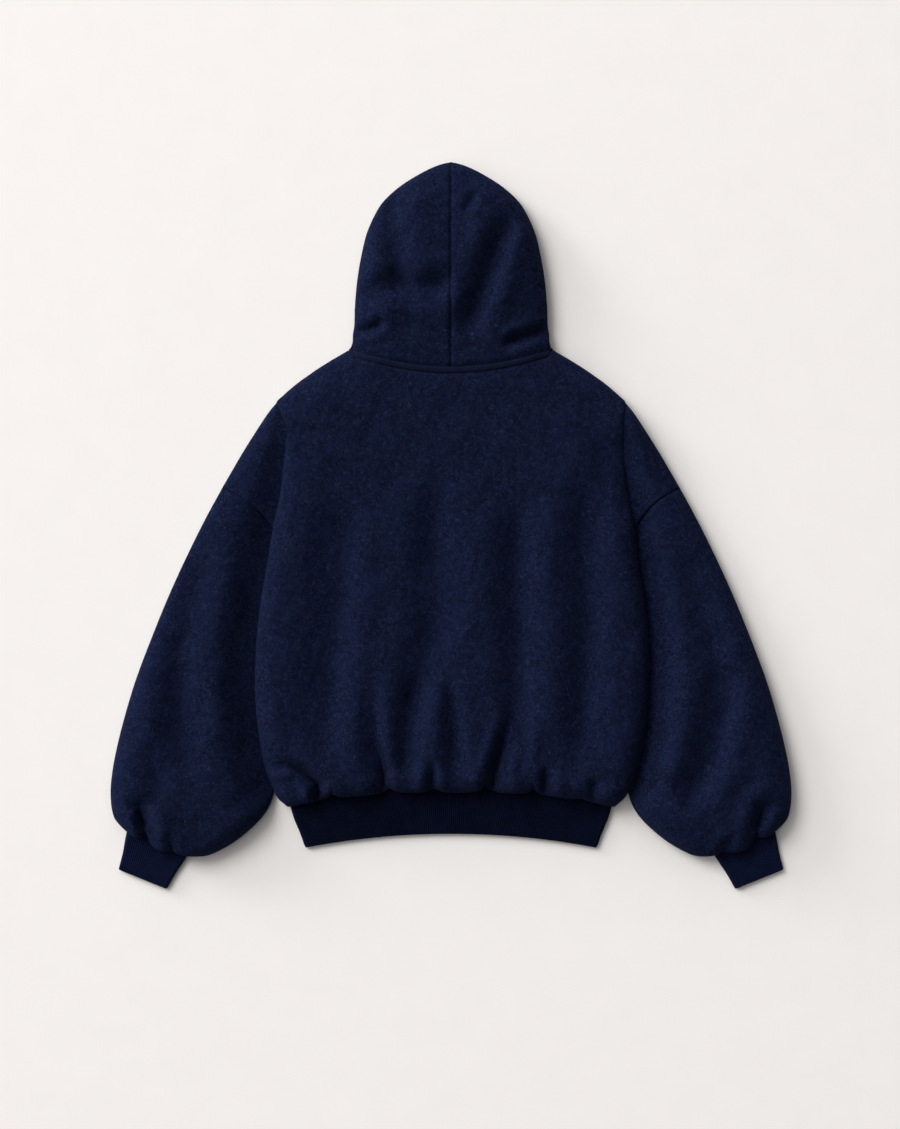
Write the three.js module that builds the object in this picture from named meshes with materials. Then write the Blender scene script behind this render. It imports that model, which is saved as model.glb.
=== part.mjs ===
// Pullover hoodie in heavy brushed fleece, laid face down with its back up and its sleeves
// beside it. It is cut as a back, a front, two drop-shoulder balloon sleeves and a two-panel
// hood, with ribbed cuffs, a ribbed hem band and a taped neck seam.
// Millimetres. X runs across the back, Y runs towards the hood, Z points up from the surface.

import * as THREE from "three";

// Cloth
const FLEECE = 2.5;
const MID = FLEECE / 2;
const RIB_KNIT = 3;
const TAPE = 1.3;
const SEAM_GAP = 0.3;

// Body
const NECK_HALF = 151.65;
const BACK_NECK_Y = 237;
const NECK_POINT_Y = 264;
const FRONT_NECK_Y = 172;
const SHOULDER_HALF = 262;
const SHOULDER_END_Y = 185;
const UNDERARM_Y = -3;
const BODY_CROWN = 40;
const HEM_CROWN = 47;
const EDGE_SEAM_Z = 13;
const SIDE_SEAM_Z = 17.6;
const SIDE_LIFT = 11;
const SIDE_TUCK_UP = 5;
const SIDE_ROLL = 32;
const SHOULDER_ROLL = 62;
const UNDER_ROLL = 22;
const LIP_ROLL = 24;
const LIP_Z = 21;
const LIP_TUCK = 13;
const LIP_TURN = (150 * Math.PI) / 180;
const LIP_SIDE_ROLL = 9;
const HEM_SEAM_Z = 13.9;
const HEM_SIDE_Z = 6.4;

// The body's half width at heights Y: down the fold over the sleeve, then down the side.
const BODY_EDGE = [
  { y: 185, left: 262, right: 262 },
  { y: 144, left: 247, right: 258 },
  { y: 93, left: 250.5, right: 259.5 },
  { y: 39, left: 258, right: 268 },
  { y: 0, left: 267, right: 276 },
  { y: -50, left: 275, right: 280.5 },
  { y: -111, left: 286, right: 291 },
  { y: -171, left: 292.5, right: 296.5 },
  { y: -246, left: 294, right: 295.5 },
  { y: -300, left: 289, right: 291 },
  { y: -355, left: 279, right: 280 },
  { y: -388, left: 267, right: 269 },
  { y: -405, left: 260, right: 260 },
  { y: -421, left: 247, right: 247 },
];

// The shoulder line, from the neck point to where the sleeve's fold starts.
const SHOULDER_LINE = [
  { x: NECK_HALF, y: NECK_POINT_Y },
  { x: 187, y: 243 },
  { x: 214, y: 225 },
  { x: 238, y: 207 },
  { x: 262, y: 185 },
];

// The part of the body that drops over the shoulder, in rows from the fold's start (0) to the
// armhole seam (1): its outer edge, its crown, the height of the valley beside the body, and
// the height of the front's cloth below that valley.
const DROP_ROWS = [
  { row: 0, x: 262, y: 185, crown: 13, valley: 13, below: 12.7 },
  { row: 0.1, x: 273, y: 172, crown: 28, valley: 27, below: 3 },
  { row: 0.25, x: 288, y: 150, crown: 34, valley: 33, below: 1.25 },
  { row: 0.5, x: 312, y: 112, crown: 33, valley: 28, below: 1.25 },
  { row: 0.75, x: 329, y: 83, crown: 31, valley: 21, below: 2.5 },
  { row: 1, x: 344, y: 57, crown: 30, valley: 15, below: 10.9 },
];

// The sleeve, in rows from the armhole seam (0) to its lowest edge over the cuff (1): the
// outer edge, the inner edge under the body's side, the crown, the inner edge's height, and
// how far the top of the row is pushed down the sleeve.
const SLEEVE_ROWS = [
  { row: 0, ox: 344, oy: 57, ix: 270, iy: -3, crown: 30, inner: 6, over: -7 },
  { row: 0.1, ox: 368, oy: 13, ix: 272, iy: -50, crown: 31, inner: 7, over: -6 },
  { row: 0.22, ox: 394, oy: -39, ix: 280, iy: -104, crown: 33, inner: 7, over: -4 },
  { row: 0.36, ox: 423, oy: -102, ix: 286, iy: -162, crown: 36, inner: 7, over: -2 },
  { row: 0.5, ox: 450, oy: -168, ix: 287, iy: -222, crown: 39, inner: 7, over: 0 },
  { row: 0.62, ox: 474, oy: -232, ix: 284, iy: -278, crown: 42, inner: 7, over: 0 },
  { row: 0.73, ox: 492, oy: -292, ix: 278, iy: -334, crown: 45, inner: 6.5, over: 0 },
  { row: 0.82, ox: 505, oy: -346, ix: 265.5, iy: -390, crown: 46, inner: 7, over: 0 },
  { row: 0.88, ox: 511, oy: -386, ix: 279, iy: -431, crown: 46, inner: 10, over: 0 },
  { row: 0.93, ox: 511, oy: -415, ix: 318, iy: -469, crown: 44, inner: 11, over: 0 },
  { row: 0.965, ox: 507, oy: -435, ix: 355, iy: -491, crown: 38, inner: 11, over: 6 },
  { row: 0.985, ox: 501, oy: -444, ix: 373, iy: -495.5, crown: 29, inner: 10, over: 12 },
  { row: 1, ox: 495.5, oy: -449, ix: 386, iy: -492.5, crown: 20.5, inner: 8, over: 14 },
];
const SLEEVE_OUTER_ROLL = 46;
const SLEEVE_INNER_ROLL = 70;
const BALLOON_ROLL = 34;
const SLEEVE_RING_ROWS = [
  0, 0.05, 0.1, 0.16, 0.22, 0.29, 0.36, 0.43, 0.5, 0.56, 0.62, 0.675, 0.73, 0.775, 0.82, 0.85, 0.88,
  0.905, 0.93, 0.965, 0.985, 1,
];
const SLEEVE_END_Z = 15;

// The cuff: its axis leans outwards, and it flares where the sleeve is gathered into it.
const CUFF_TOP = { x: 441, y: -474 };
const CUFF_LENGTH = 62;
const CUFF_LEAN = (22 * Math.PI) / 180;
const CUFF_WIDTHS = [
  { along: 0, half: 50, height: 11.6 },
  { along: 0.25, half: 47, height: 11 },
  { along: 0.6, half: 42.5, height: 10.2 },
  { along: 1, half: 39.3, height: 9.2 },
];

// The hem band
const BAND_TOP_Y = -391;
const BAND_TOP_DROP = 22;
const BAND_BOTTOM_Y = -463;
const BAND_BOTTOM_DROP = 21;
const BAND_WIDTHS = [
  { along: 0, half: 244, height: 12 },
  { along: 0.35, half: 237, height: 11.4 },
  { along: 0.7, half: 227, height: 10.4 },
  { along: 1, half: 219.5, height: 9.4 },
];

// Ribs
const RIB_PITCH = 3.3;
const RIB_DEPTH = 0.9;
const RIB_RINGS = 4;

// Hood: half width at heights Y of its side.
const HOOD_EDGE = [
  { y: 264, half: 152.9 },
  { y: 274, half: 148 },
  { y: 288, half: 147.5 },
  { y: 300, half: 145.5 },
  { y: 330, half: 144.5 },
  { y: 369, half: 141 },
  { y: 405, half: 135 },
  { y: 441, half: 126 },
  { y: 477, half: 109 },
  { y: 495, half: 94 },
  { y: 513, half: 72 },
  { y: 531, half: 42 },
  { y: 541, half: 20 },
  { y: 546, half: 2 },
];
// Hood rows from the neck seam (0) to the peak (1): Y at the side, at the centre seam and at
// the face opening underneath, the crown's height, and half the opening's width.
const HOOD_ROWS = [
  { row: 0, side: 264, back: 237, front: 172, crown: 40, opening: 4 },
  { row: 0.1, side: 288, back: 268, front: 205, crown: 41, opening: 15 },
  { row: 0.25, side: 330, back: 318, front: 262, crown: 46, opening: 34 },
  { row: 0.45, side: 386, back: 380, front: 340, crown: 51, opening: 48 },
  { row: 0.62, side: 434, back: 432, front: 405, crown: 51, opening: 46 },
  { row: 0.76, side: 475, back: 474, front: 455, crown: 46, opening: 30 },
  { row: 0.87, side: 506, back: 507, front: 492, crown: 37, opening: 0.15 },
  { row: 0.95, side: 531, back: 534, front: 525, crown: 25, opening: 0.15 },
  { row: 1, side: 544, back: 545, front: 544, crown: 13, opening: 0.15 },
];
const HOOD_RING_ROWS = [0, 0.03, 0.1, 0.17, 0.25, 0.35, 0.45, 0.54, 0.62, 0.69, 0.76, 0.82, 0.87, 0.91, 0.95, 0.98, 1];
const HOOD_ROLL = 62;
const HOOD_UNDER_ROLL = 24;
const SEAM_HALF = 0.15;

// Tape over the back neck seam
const TAPE_WIDTH = 8;
const TAPE_OVER = 0.8;

// Folds are soft troughs through three points, with a half width and a depth.
const BACK_FOLDS = [
  { x1: -264, y1: -339, x2: -219, y2: -361, x3: -190, y3: -408, width: 12, depth: 15 },
  { x1: -103, y1: -300, x2: -99, y2: -355, x3: -96, y3: -408, width: 10, depth: 12 },
  { x1: -57, y1: -201, x2: -60, y2: -291, x3: -70, y3: -350, width: 17, depth: 5 },
  { x1: -24, y1: -318, x2: -25, y2: -358, x3: -22, y3: -406, width: 9, depth: 12 },
  { x1: -3, y1: -240, x2: -2, y2: -290, x3: -1, y3: -336, width: 14, depth: 4 },
  { x1: 76, y1: -303, x2: 64, y2: -355, x3: 52, y3: -408, width: 10, depth: 15 },
  { x1: 97, y1: -250, x2: 94, y2: -315, x3: 84, y3: -366, width: 12, depth: 5 },
  { x1: 150, y1: -335, x2: 134, y2: -375, x3: 122, y3: -412, width: 10, depth: 14 },
  { x1: 180, y1: -235, x2: 183, y2: -310, x3: 169, y3: -363, width: 14, depth: 5 },
  { x1: 226, y1: -362, x2: 206, y2: -385, x3: 184, y3: -414, width: 10, depth: 11 },
  { x1: -130, y1: -230, x2: -127, y2: -310, x3: -120, y3: -373, width: 15, depth: 4 },
  { x1: -228, y1: -210, x2: -222, y2: -260, x3: -214, y3: -310, width: 20, depth: 4 },
  { x1: 46, y1: 84, x2: 42, y2: -110, x3: 38, y3: -300, width: 20, depth: 4 },
  { x1: -33, y1: 50, x2: -36, y2: -60, x3: -36, y3: -180, width: 20, depth: 3.5 },
  { x1: 160, y1: -30, x2: 168, y2: -150, x3: 172, y3: -250, width: 22, depth: 4 },
  { x1: -150, y1: -90, x2: -155, y2: -220, x3: -156, y3: -340, width: 22, depth: 4 },
];
const LEFT_SLEEVE_FOLDS = [
  { x1: 490, y1: -412, x2: 466, y2: -424, x3: 457, y3: -466, width: 10, depth: 14 },
  { x1: 424, y1: -452, x2: 420, y2: -468, x3: 415, y3: -490, width: 9, depth: 10 },
  { x1: 420, y1: -120, x2: 440, y2: -210, x3: 455, y3: -320, width: 24, depth: 3.5 },
  { x1: 335, y1: -90, x2: 340, y2: -200, x3: 335, y3: -330, width: 24, depth: 3.5 },
];
const RIGHT_SLEEVE_FOLDS = [
  { x1: 487, y1: -408, x2: 466, y2: -425, x3: 457, y3: -466, width: 10, depth: 14 },
  { x1: 427, y1: -448, x2: 418, y2: -475, x3: 404, y3: -498, width: 9, depth: 11 },
  { x1: 412, y1: -240, x2: 376, y2: -340, x3: 344, y3: -410, width: 26, depth: 6 },
  { x1: 352, y1: -60, x2: 372, y2: -130, x3: 384, y3: -220, width: 24, depth: 3.5 },
];
const HOOD_FOLDS = [
  { x1: 62, y1: 440, x2: 32, y2: 360, x3: 8, y3: 300, width: 17, depth: 5 },
  { x1: 146, y1: 302, x2: 117, y2: 290, x3: 84, y3: 281, width: 10, depth: 6 },
  { x1: -146, y1: 294, x2: -126, y2: 296, x3: -104, y3: 300, width: 10, depth: 6 },
  { x1: -60, y1: 470, x2: -78, y2: 400, x3: -84, y3: 340, width: 20, depth: 3.5 },
];
const CREASE_DEPTH = 8;
const PUFF_BESIDE = 0.3;

// Rows and columns of the grids
const BODY_CELLS = 15;
const FRONT_CELLS = 10;
const ROLL_CELLS = 4;
const DROP_RINGS = 9;
const LOWER_ROWS = 12;
const LIP_ROWS = [1.25, 1.5, 1.75, 2];
const DROP_CELLS = 11;
const UNDER_CELLS = 5;
const HOOD_TOP_CELLS = 9;
const HOOD_UNDER_CELLS = 6;

const clamp = (t) => Math.min(1, Math.max(0, t));
const ease = (t) => clamp(t) ** 2 * (3 - 2 * clamp(t));
const mix = (a, b, t) => a + (b - a) * t;
const vector = (x, y, z) => new THREE.Vector3(x, y, z);
// A quarter circle that rises from 0 to 1.
const round = (t) => Math.sqrt(1 - (1 - clamp(t)) ** 2);
// A share of the way across cells, closer together at both ends.
const spread = (i, cells) => mix(i / cells, (1 - Math.cos((Math.PI * i) / cells)) / 2, 0.6);

// A smooth curve through one column of a table, against another column.
function through(table, key, value) {
  const rows = [...table].sort((a, b) => a[key] - b[key]);
  const slope = rows.map((row, i) => {
    const before = rows[Math.max(0, i - 1)];
    const after = rows[Math.min(rows.length - 1, i + 1)];
    return (after[value] - before[value]) / (after[key] - before[key]);
  });
  return (at) => {
    const inside = Math.min(rows.at(-1)[key], Math.max(rows[0][key], at));
    const next = rows.findIndex((row) => row[key] >= inside);
    const i = Math.max(0, next - 1);
    const [a, b] = [rows[i], rows[i + 1]];
    const step = b[key] - a[key];
    const t = (inside - a[key]) / step;
    return (
      (1 + 2 * t) * (1 - t) ** 2 * a[value] +
      t * (1 - t) ** 2 * step * slope[i] +
      t * t * (3 - 2 * t) * b[value] +
      t * t * (t - 1) * step * slope[i + 1]
    );
  };
}

function distanceToSegment(x, y, a, b) {
  const along = clamp(
    ((x - a.x) * (b.x - a.x) + (y - a.y) * (b.y - a.y)) / ((b.x - a.x) ** 2 + (b.y - a.y) ** 2),
  );
  return { away: Math.hypot(x - mix(a.x, b.x, along), y - mix(a.y, b.y, along)), along };
}

// How far the folds push the cloth down at a point: troughs, each with a low puff beside it.
// The deep creases run out into the seam below them, and the shallow ones fade at both ends.
function foldDepth(folds, x, y) {
  let depth = 0;
  for (const fold of folds) {
    const upper = distanceToSegment(x, y, { x: fold.x1, y: fold.y1 }, { x: fold.x2, y: fold.y2 });
    const lower = distanceToSegment(x, y, { x: fold.x2, y: fold.y2 }, { x: fold.x3, y: fold.y3 });
    const isUpper = upper.away < lower.away;
    const along = isUpper ? upper.along / 2 : 0.5 + lower.along / 2;
    const far = (isUpper ? upper.away : lower.away) / fold.width;
    const trough = Math.exp(-far * far) - PUFF_BESIDE * Math.exp(-((far - 2) ** 2));
    const strength = fold.depth > CREASE_DEPTH ? ease(along * 1.4) : Math.sin(Math.PI * along);
    depth += fold.depth * trough * strength;
  }
  return depth;
}

// How much a crease pulls the lip back at x: 1 in the middle of a crease, 0 between creases.
const pullAt = (folds, x) =>
  folds
    .filter((fold) => fold.depth > CREASE_DEPTH)
    .reduce((most, fold) => Math.max(most, Math.exp(-(((x - fold.x3) / 13) ** 2))), 0);

const leftEdge = through(BODY_EDGE, "y", "left");
const rightEdge = through(BODY_EDGE, "y", "right");
const bodyEdge = (y, side) => (side < 0 ? leftEdge(y) : rightEdge(y)) - MID;
const SHOULDER_EDGE = SHOULDER_HALF - MID;
const shoulderY = through(SHOULDER_LINE, "x", "y");
const backNeckY = (x) => mix(BACK_NECK_Y, NECK_POINT_Y, (x / NECK_HALF) ** 2);
const neckArcY = (x) => mix(FRONT_NECK_Y, NECK_POINT_Y, 1 - Math.sqrt(1 - clamp(Math.abs(x) / NECK_HALF) ** 2));

// The front neckline is cut as straight runs between the columns of the front.
const NECK_STEP = NECK_HALF / HOOD_UNDER_CELLS;
function frontNeckY(x) {
  const step = Math.min(HOOD_UNDER_CELLS - 1, Math.floor(Math.abs(x) / NECK_STEP + 1e-9));
  const share = Math.abs(x) / NECK_STEP - step;
  return mix(neckArcY(step * NECK_STEP), neckArcY((step + 1) * NECK_STEP), share);
}

function shoulderDistance(x, y) {
  let nearest = Infinity;
  for (let i = 1; i < SHOULDER_LINE.length; i++) {
    const { away } = distanceToSegment(Math.abs(x), y, SHOULDER_LINE[i - 1], SHOULDER_LINE[i]);
    nearest = Math.min(nearest, away);
  }
  return nearest;
}

// The body's height before its sides roll down: lower at the shoulder line, higher over the hem.
function bodyTop(x, y) {
  const crown = mix(BODY_CROWN, HEM_CROWN, ease((-y - 120) / 220));
  const shoulder = (crown - EDGE_SEAM_Z) * (1 - round(shoulderDistance(x, y) / SHOULDER_ROLL));
  return crown - shoulder - foldDepth(BACK_FOLDS, x, y);
}

const hemLineY = (x) => -395 - 22 * (Math.abs(x) / 245) ** 2.6;
const lipY = (x) => hemLineY(x) - 4 + 11 * pullAt(BACK_FOLDS, x);
const bandTopY = (x) => BAND_TOP_Y - BAND_TOP_DROP * (x / 244) ** 2;

// A row's height at the body's side: from the shoulder's end (0) to where the hem's lip rolls
// (1), and on round the lip (to 2).
const BODY_LENGTH = SHOULDER_END_Y - hemLineY(SHOULDER_HALF) - LIP_ROLL;
const UNDERARM_ROW = (SHOULDER_END_Y - UNDERARM_Y) / BODY_LENGTH;
function rowSideY(row) {
  const lip = Math.min(Math.PI / 2, Math.max(0, row - 1) * LIP_TURN);
  return SHOULDER_END_Y - Math.min(row, 1) * BODY_LENGTH - LIP_ROLL * Math.sin(lip);
}

const dropRows = Array.from({ length: DROP_RINGS }, (_, i) => UNDERARM_ROW * (i / (DROP_RINGS - 1)) ** 1.5);
const lowerRows = Array.from({ length: LOWER_ROWS }, (_, i) => mix(UNDERARM_ROW, 1, (i + 1) / LOWER_ROWS));

// Columns across the body: the flat of it (across -1 to 1), and a roll (turn) at each end.
function bodyColumns(cells) {
  const roll = Array.from({ length: ROLL_CELLS }, (_, i) => (i + 1) / ROLL_CELLS);
  const flat = Array.from({ length: 2 * cells + 1 }, (_, i) => ({ across: i / cells - 1, turn: 0 }));
  return [
    ...roll.map((turn) => ({ across: -1, turn })).reverse(),
    ...flat,
    ...roll.map((turn) => ({ across: 1, turn })),
  ];
}

const dropCrown = through(DROP_ROWS, "row", "crown");
const dropValley = through(DROP_ROWS, "row", "valley");
const belowAt = through(DROP_ROWS, "row", "below");
const dropBelow = (drop) => Math.max(MID, belowAt(drop));
const dropX = through(DROP_ROWS, "row", "x");
const dropY = through(DROP_ROWS, "row", "y");
const topLineY = (x) => (Math.abs(x) < NECK_HALF ? backNeckY(x) : shoulderY(Math.abs(x)));
const frontTopY = (x) => (Math.abs(x) < NECK_HALF ? frontNeckY(x) : shoulderY(Math.abs(x)));
// The side seam comes down to the band round the lip.
const sideSeamZ = (row) => mix(SIDE_SEAM_Z, HEM_SIDE_Z, ease((row - 1) / 0.5));

// One point of the back's mid surface. The last rows roll down into a lip over the band and
// back under it to the seam.
function backPoint(row, column) {
  const level = Math.min(row, 1);
  const drop = level / UNDERARM_ROW;
  const sideY = rowSideY(row);
  const side = Math.sign(column.across) || 1;
  const half = bodyEdge(sideY, side);
  const roll = row > 1 ? mix(SIDE_ROLL, LIP_SIDE_ROLL, ease(row - 1)) : SIDE_ROLL * mix(0.25, 1, ease(drop));
  const wrap = 8 + 0.25 * (half - SIDE_ROLL);
  const flatHalf = row === 0 ? half - roll : Math.max(wrap, half - roll);
  const turned = (column.turn * Math.PI) / 2;
  const x = column.across * mix(flatHalf, half, Math.sin(turned));
  const startY = topLineY(Math.min(1, Math.abs(x) / half) * SHOULDER_EDGE);
  const restY = lipY(x) + LIP_ROLL;
  const restTop = bodyTop(side * flatHalf, mix(startY, restY, level));
  let y = mix(startY, restY, level);
  const sideZ = drop < 1.02 ? dropValley(drop) : sideSeamZ(row);
  const flatZ = column.turn === 0 ? bodyTop(x, y) : restTop;
  let z = mix(flatZ, Math.min(sideZ, flatZ), 1 - Math.cos(turned));
  if (row > 1) {
    const lip = (row - 1) * LIP_TURN;
    const under = clamp((z - sideZ) / (flatZ - sideZ));
    const lipZ = mix(sideZ, LIP_Z, under);
    const seamZ = mix(HEM_SIDE_Z, HEM_SEAM_Z, under);
    if (lip <= Math.PI / 2) {
      y -= LIP_ROLL * Math.sin(lip);
      z = mix(z, lipZ, 1 - Math.cos(lip));
    } else {
      const back = Math.cos(lip) / Math.cos(LIP_TURN);
      y += LIP_TUCK * back - LIP_ROLL;
      z = mix(lipZ, seamZ, back);
    }
  }
  return vector(x, y, z);
}

// The drop over the shoulder in plan: share 0 is the valley beside the body, 1 the outer edge.
function dropPlan(row, share, side) {
  const drop = row / UNDERARM_ROW;
  const sideY = rowSideY(row);
  const inner = { x: bodyEdge(sideY, side), y: sideY };
  const outer = { x: dropX(drop) - MID * 0.9, y: dropY(drop) - MID * 0.4 };
  const bow = 28 * drop * share * (1 - share);
  return {
    x: side * (mix(inner.x, outer.x, share) - 0.45 * bow),
    y: mix(inner.y, outer.y, share) + bow,
    width: Math.hypot(outer.x - inner.x, outer.y - inner.y),
  };
}

// Height across an arm's section. It rolls down to its outer edge and slopes to its inner one,
// and where the sleeve is a free balloon it rolls down to both.
function armTop(share, width, { crown, inner, balloon = 0 }) {
  const fromInner = share * width;
  const start = ease(0.12) ** 0.8;
  const slope = (ease(0.12 + (0.88 * fromInner) / Math.max(1, Math.min(SLEEVE_INNER_ROLL, 0.6 * width))) ** 0.8 - start) / (1 - start);
  const rolled = round(fromInner / Math.max(1, Math.min(BALLOON_ROLL, 0.45 * width)));
  const rise = mix(inner, crown, mix(slope, rolled, balloon));
  const fromOuter = width - fromInner;
  return mix(EDGE_SEAM_Z, rise, round(fromOuter / Math.max(1, Math.min(SLEEVE_OUTER_ROLL, 0.5 * width))));
}

function armUnder(share, width, inner, outer) {
  const roll = Math.max(1, Math.min(UNDER_ROLL, 0.45 * width));
  const outerRise = (outer - MID) * (1 - round(((1 - share) * width) / roll));
  const innerRise = (inner - MID) * (1 - round((share * width) / roll));
  return MID + outerRise + innerRise;
}

function dropPoint(row, share, side) {
  const plan = dropPlan(row, share, side);
  const drop = row / UNDERARM_ROW;
  const z = armTop(share, plan.width, { crown: dropCrown(drop), inner: dropValley(drop) });
  return vector(plan.x, plan.y, z);
}

// A surface is a list of points and a list of faces with their corners anticlockwise from
// outside. Points within a thousandth of a millimetre of each other are one point.
class Surface {
  constructor() {
    this.points = [];
    this.faces = [];
    this.known = new Map();
    this.aimed = new Map();
  }
  point(p) {
    const key = [p.x, p.y, p.z].map((v) => Math.round(v * 1000)).join();
    if (!this.known.has(key)) {
      this.known.set(key, this.points.length);
      this.points.push(p);
    }
    return this.known.get(key);
  }
  // Sets which way the cloth faces at a point of a seam, so that both rims meet squarely.
  aim(p, x, y, z) {
    this.aimed.set(this.point(p), vector(x, y, z).normalize());
  }
  face(...corners) {
    const different = corners.filter((c, i) => c !== corners[(i + 1) % corners.length]);
    if (different.length < 3) return;
    this.faces.push([different[0], different[1], different[2]]);
    if (different.length === 4) this.faces.push([different[0], different[2], different[3]]);
  }
  // Rows of points, joined across, and turned over if flipped.
  grid(rows, flipped = false) {
    const ids = rows.map((row) => row.map((p) => this.point(p)));
    for (let i = 1; i < ids.length; i++) {
      for (let j = 1; j < ids[i].length; j++) {
        const corners = [ids[i][j - 1], ids[i][j], ids[i - 1][j], ids[i - 1][j - 1]];
        this.face(...(flipped ? corners.reverse() : corners));
      }
    }
  }
  normals() {
    const normals = this.points.map(() => vector(0, 0, 0));
    const [u, v, n] = [vector(0, 0, 0), vector(0, 0, 0), vector(0, 0, 0)];
    for (const [a, b, c] of this.faces) {
      u.subVectors(this.points[b], this.points[a]);
      v.subVectors(this.points[c], this.points[a]);
      n.crossVectors(u, v);
      for (const corner of [a, b, c]) normals[corner].add(n);
    }
    return normals.map((normal, i) => this.aimed.get(i) ?? normal.normalize());
  }
}

function geometryOf(points, faces) {
  const geometry = new THREE.BufferGeometry();
  const numbers = points.flatMap((p) => [p.x, p.y, p.z]);
  geometry.setAttribute("position", new THREE.Float32BufferAttribute(numbers, 3));
  geometry.setIndex(faces.flat());
  geometry.computeVertexNormals();
  return geometry;
}

// A cloth wall: the surface moved out and in by half its thickness, closed along its edges.
function wall(surface, thickness) {
  const normals = surface.normals();
  const moved = (by) => surface.points.map((p, i) => p.clone().addScaledVector(normals[i], by));
  const count = surface.points.length;
  const faces = [...surface.faces];
  const open = new Map();
  for (const [a, b, c] of surface.faces) {
    faces.push([a + count, c + count, b + count]);
    const edges = [
      [a, b],
      [b, c],
      [c, a],
    ];
    for (const [from, to] of edges) {
      if (!open.delete(`${to},${from}`)) open.set(`${from},${to}`, [from, to]);
    }
  }
  for (const [from, to] of open.values()) {
    faces.push([to, from, from + count], [to, from + count, to + count]);
  }
  return geometryOf([...moved(thickness / 2), ...moved(-thickness / 2)], faces);
}

// Joins two closed rings with different numbers of points, by share of the way round.
function bridge(faces, outer, inner) {
  let [i, j] = [0, 0];
  const around = (ring, k) => (k < ring.length ? ring[k].around : 1);
  while (i < outer.length || j < inner.length) {
    const a = outer[i % outer.length].id;
    const b = inner[j % inner.length].id;
    if (j >= inner.length || (i < outer.length && around(outer, i + 1) <= around(inner, j + 1))) {
      faces.push([a, outer[(i + 1) % outer.length].id, b]);
      i++;
    } else {
      faces.push([a, inner[(j + 1) % inner.length].id, b]);
      j++;
    }
  }
}

// A tube with its own outer and inner rings, closed at both ends by a rim.
function tube(outerRings, innerRings) {
  const points = [];
  const faces = [];
  const numbered = (rings) =>
    rings.map((ring) => ring.map(({ point, around }) => ({ id: points.push(point) - 1, around })));
  const outer = numbered(outerRings);
  const inner = numbered(innerRings);
  const skin = (rings, outward) => {
    for (let i = 1; i < rings.length; i++) {
      for (let j = 0; j < rings[i].length; j++) {
        const next = (j + 1) % rings[i].length;
        const [a, b, c, d] = [rings[i - 1][j], rings[i - 1][next], rings[i][next], rings[i][j]].map((p) => p.id);
        if (outward) faces.push([a, c, b], [a, d, c]);
        else faces.push([a, b, c], [a, c, d]);
      }
    }
  };
  skin(outer, true);
  skin(inner, false);
  const start = [];
  bridge(start, outer[0], inner[0]);
  faces.push(...start);
  const end = [];
  bridge(end, outer.at(-1), inner.at(-1));
  faces.push(...end.map(([a, b, c]) => [a, c, b]));
  return geometryOf(points, faces);
}

// A flattened ring of rib knit, clockwise seen down its axis: ribbed over the top and round
// both ends, and plain where it lies on the surface. Each point is across, up and around.
function ribSection(half, height, thickness, ribs, inside) {
  const inset = inside ? thickness : 0;
  const radius = height / 2;
  const reach = half - radius;
  const r = radius - inset;
  const points = [];
  const topCells = inside ? 14 : 2 * ribs;
  const endCells = inside ? 4 : 8;
  const baseCells = 8;
  const depthAt = (k) => (inside ? 0 : k % 2 === 1 ? RIB_DEPTH : 0);
  const length = 4 * reach + 2 * Math.PI * radius;
  const push = (across, up, run) => points.push({ across, up, around: run / length });
  for (let k = 0; k < topCells; k++) {
    push(mix(-reach, reach, k / topCells), radius + r - depthAt(k), (2 * reach * k) / topCells);
  }
  for (let k = 0; k < endCells; k++) {
    const angle = (Math.PI * k) / endCells;
    const spoke = r - depthAt(k);
    push(reach + spoke * Math.sin(angle), radius + spoke * Math.cos(angle), 2 * reach + radius * angle);
  }
  for (let k = 0; k < baseCells; k++) {
    push(mix(reach, -reach, k / baseCells), radius - r, 2 * reach + Math.PI * radius + (2 * reach * k) / baseCells);
  }
  for (let k = 0; k < endCells; k++) {
    const angle = Math.PI + (Math.PI * k) / endCells;
    const spoke = r - depthAt(k);
    const run = 4 * reach + Math.PI * radius + radius * (angle - Math.PI);
    push(-reach + spoke * Math.sin(angle), radius + spoke * Math.cos(angle), run);
  }
  return points;
}

const NAVY = new THREE.Color(0.045, 0.06, 0.14);
const RIB_NAVY = new THREE.Color(0.03, 0.042, 0.11);

function named(name, geometry, color) {
  const mesh = new THREE.Mesh(geometry, new THREE.MeshStandardMaterial({ color, roughness: 0.95 }));
  mesh.name = name;
  return mesh;
}

// Aims the points of a rim square to the seam: up or down, across the rim's own run.
function aimRim(surface, rim, facing) {
  rim.forEach((p, i) => {
    const run = rim[Math.min(i + 1, rim.length - 1)].clone().sub(rim[Math.max(i - 1, 0)]);
    const flat = run.x * run.x + run.y * run.y;
    if (flat > 0) surface.aim(p, -facing * run.z * run.x, -facing * run.z * run.y, facing * flat);
  });
}

// Aims the back's or the front's shoulder and side rims outwards, so that the two meet edge to edge.
function aimEdges(surface, rows, facing) {
  const neck = rows[0].filter((p) => Math.abs(p.x) < NECK_HALF + 0.5);
  aimRim(surface, neck, facing);
  rows[0].forEach((p) => {
    const side = Math.sign(p.x);
    if (Math.abs(Math.abs(p.x) - NECK_HALF) < 0.5) surface.aim(p, side, 0, 0);
    else if (Math.abs(p.x) > NECK_HALF) surface.aim(p, side * 0.62, 0.78, 0);
  });
  rows.slice(DROP_RINGS).forEach((row) => {
    surface.aim(row[0], -1, 0, 0);
    surface.aim(row.at(-1), 1, 0, 0);
  });
}

// Aims the outer edge of a drop outwards and its armhole rim square to the seam.
function aimDrop(surface, strips, side, facing) {
  const armhole = strips.at(-1);
  aimRim(surface, armhole.slice(1), facing);
  strips.slice(1).forEach((strip) => surface.aim(strip.at(-1), side * 0.85, 0.53, 0));
}

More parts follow.
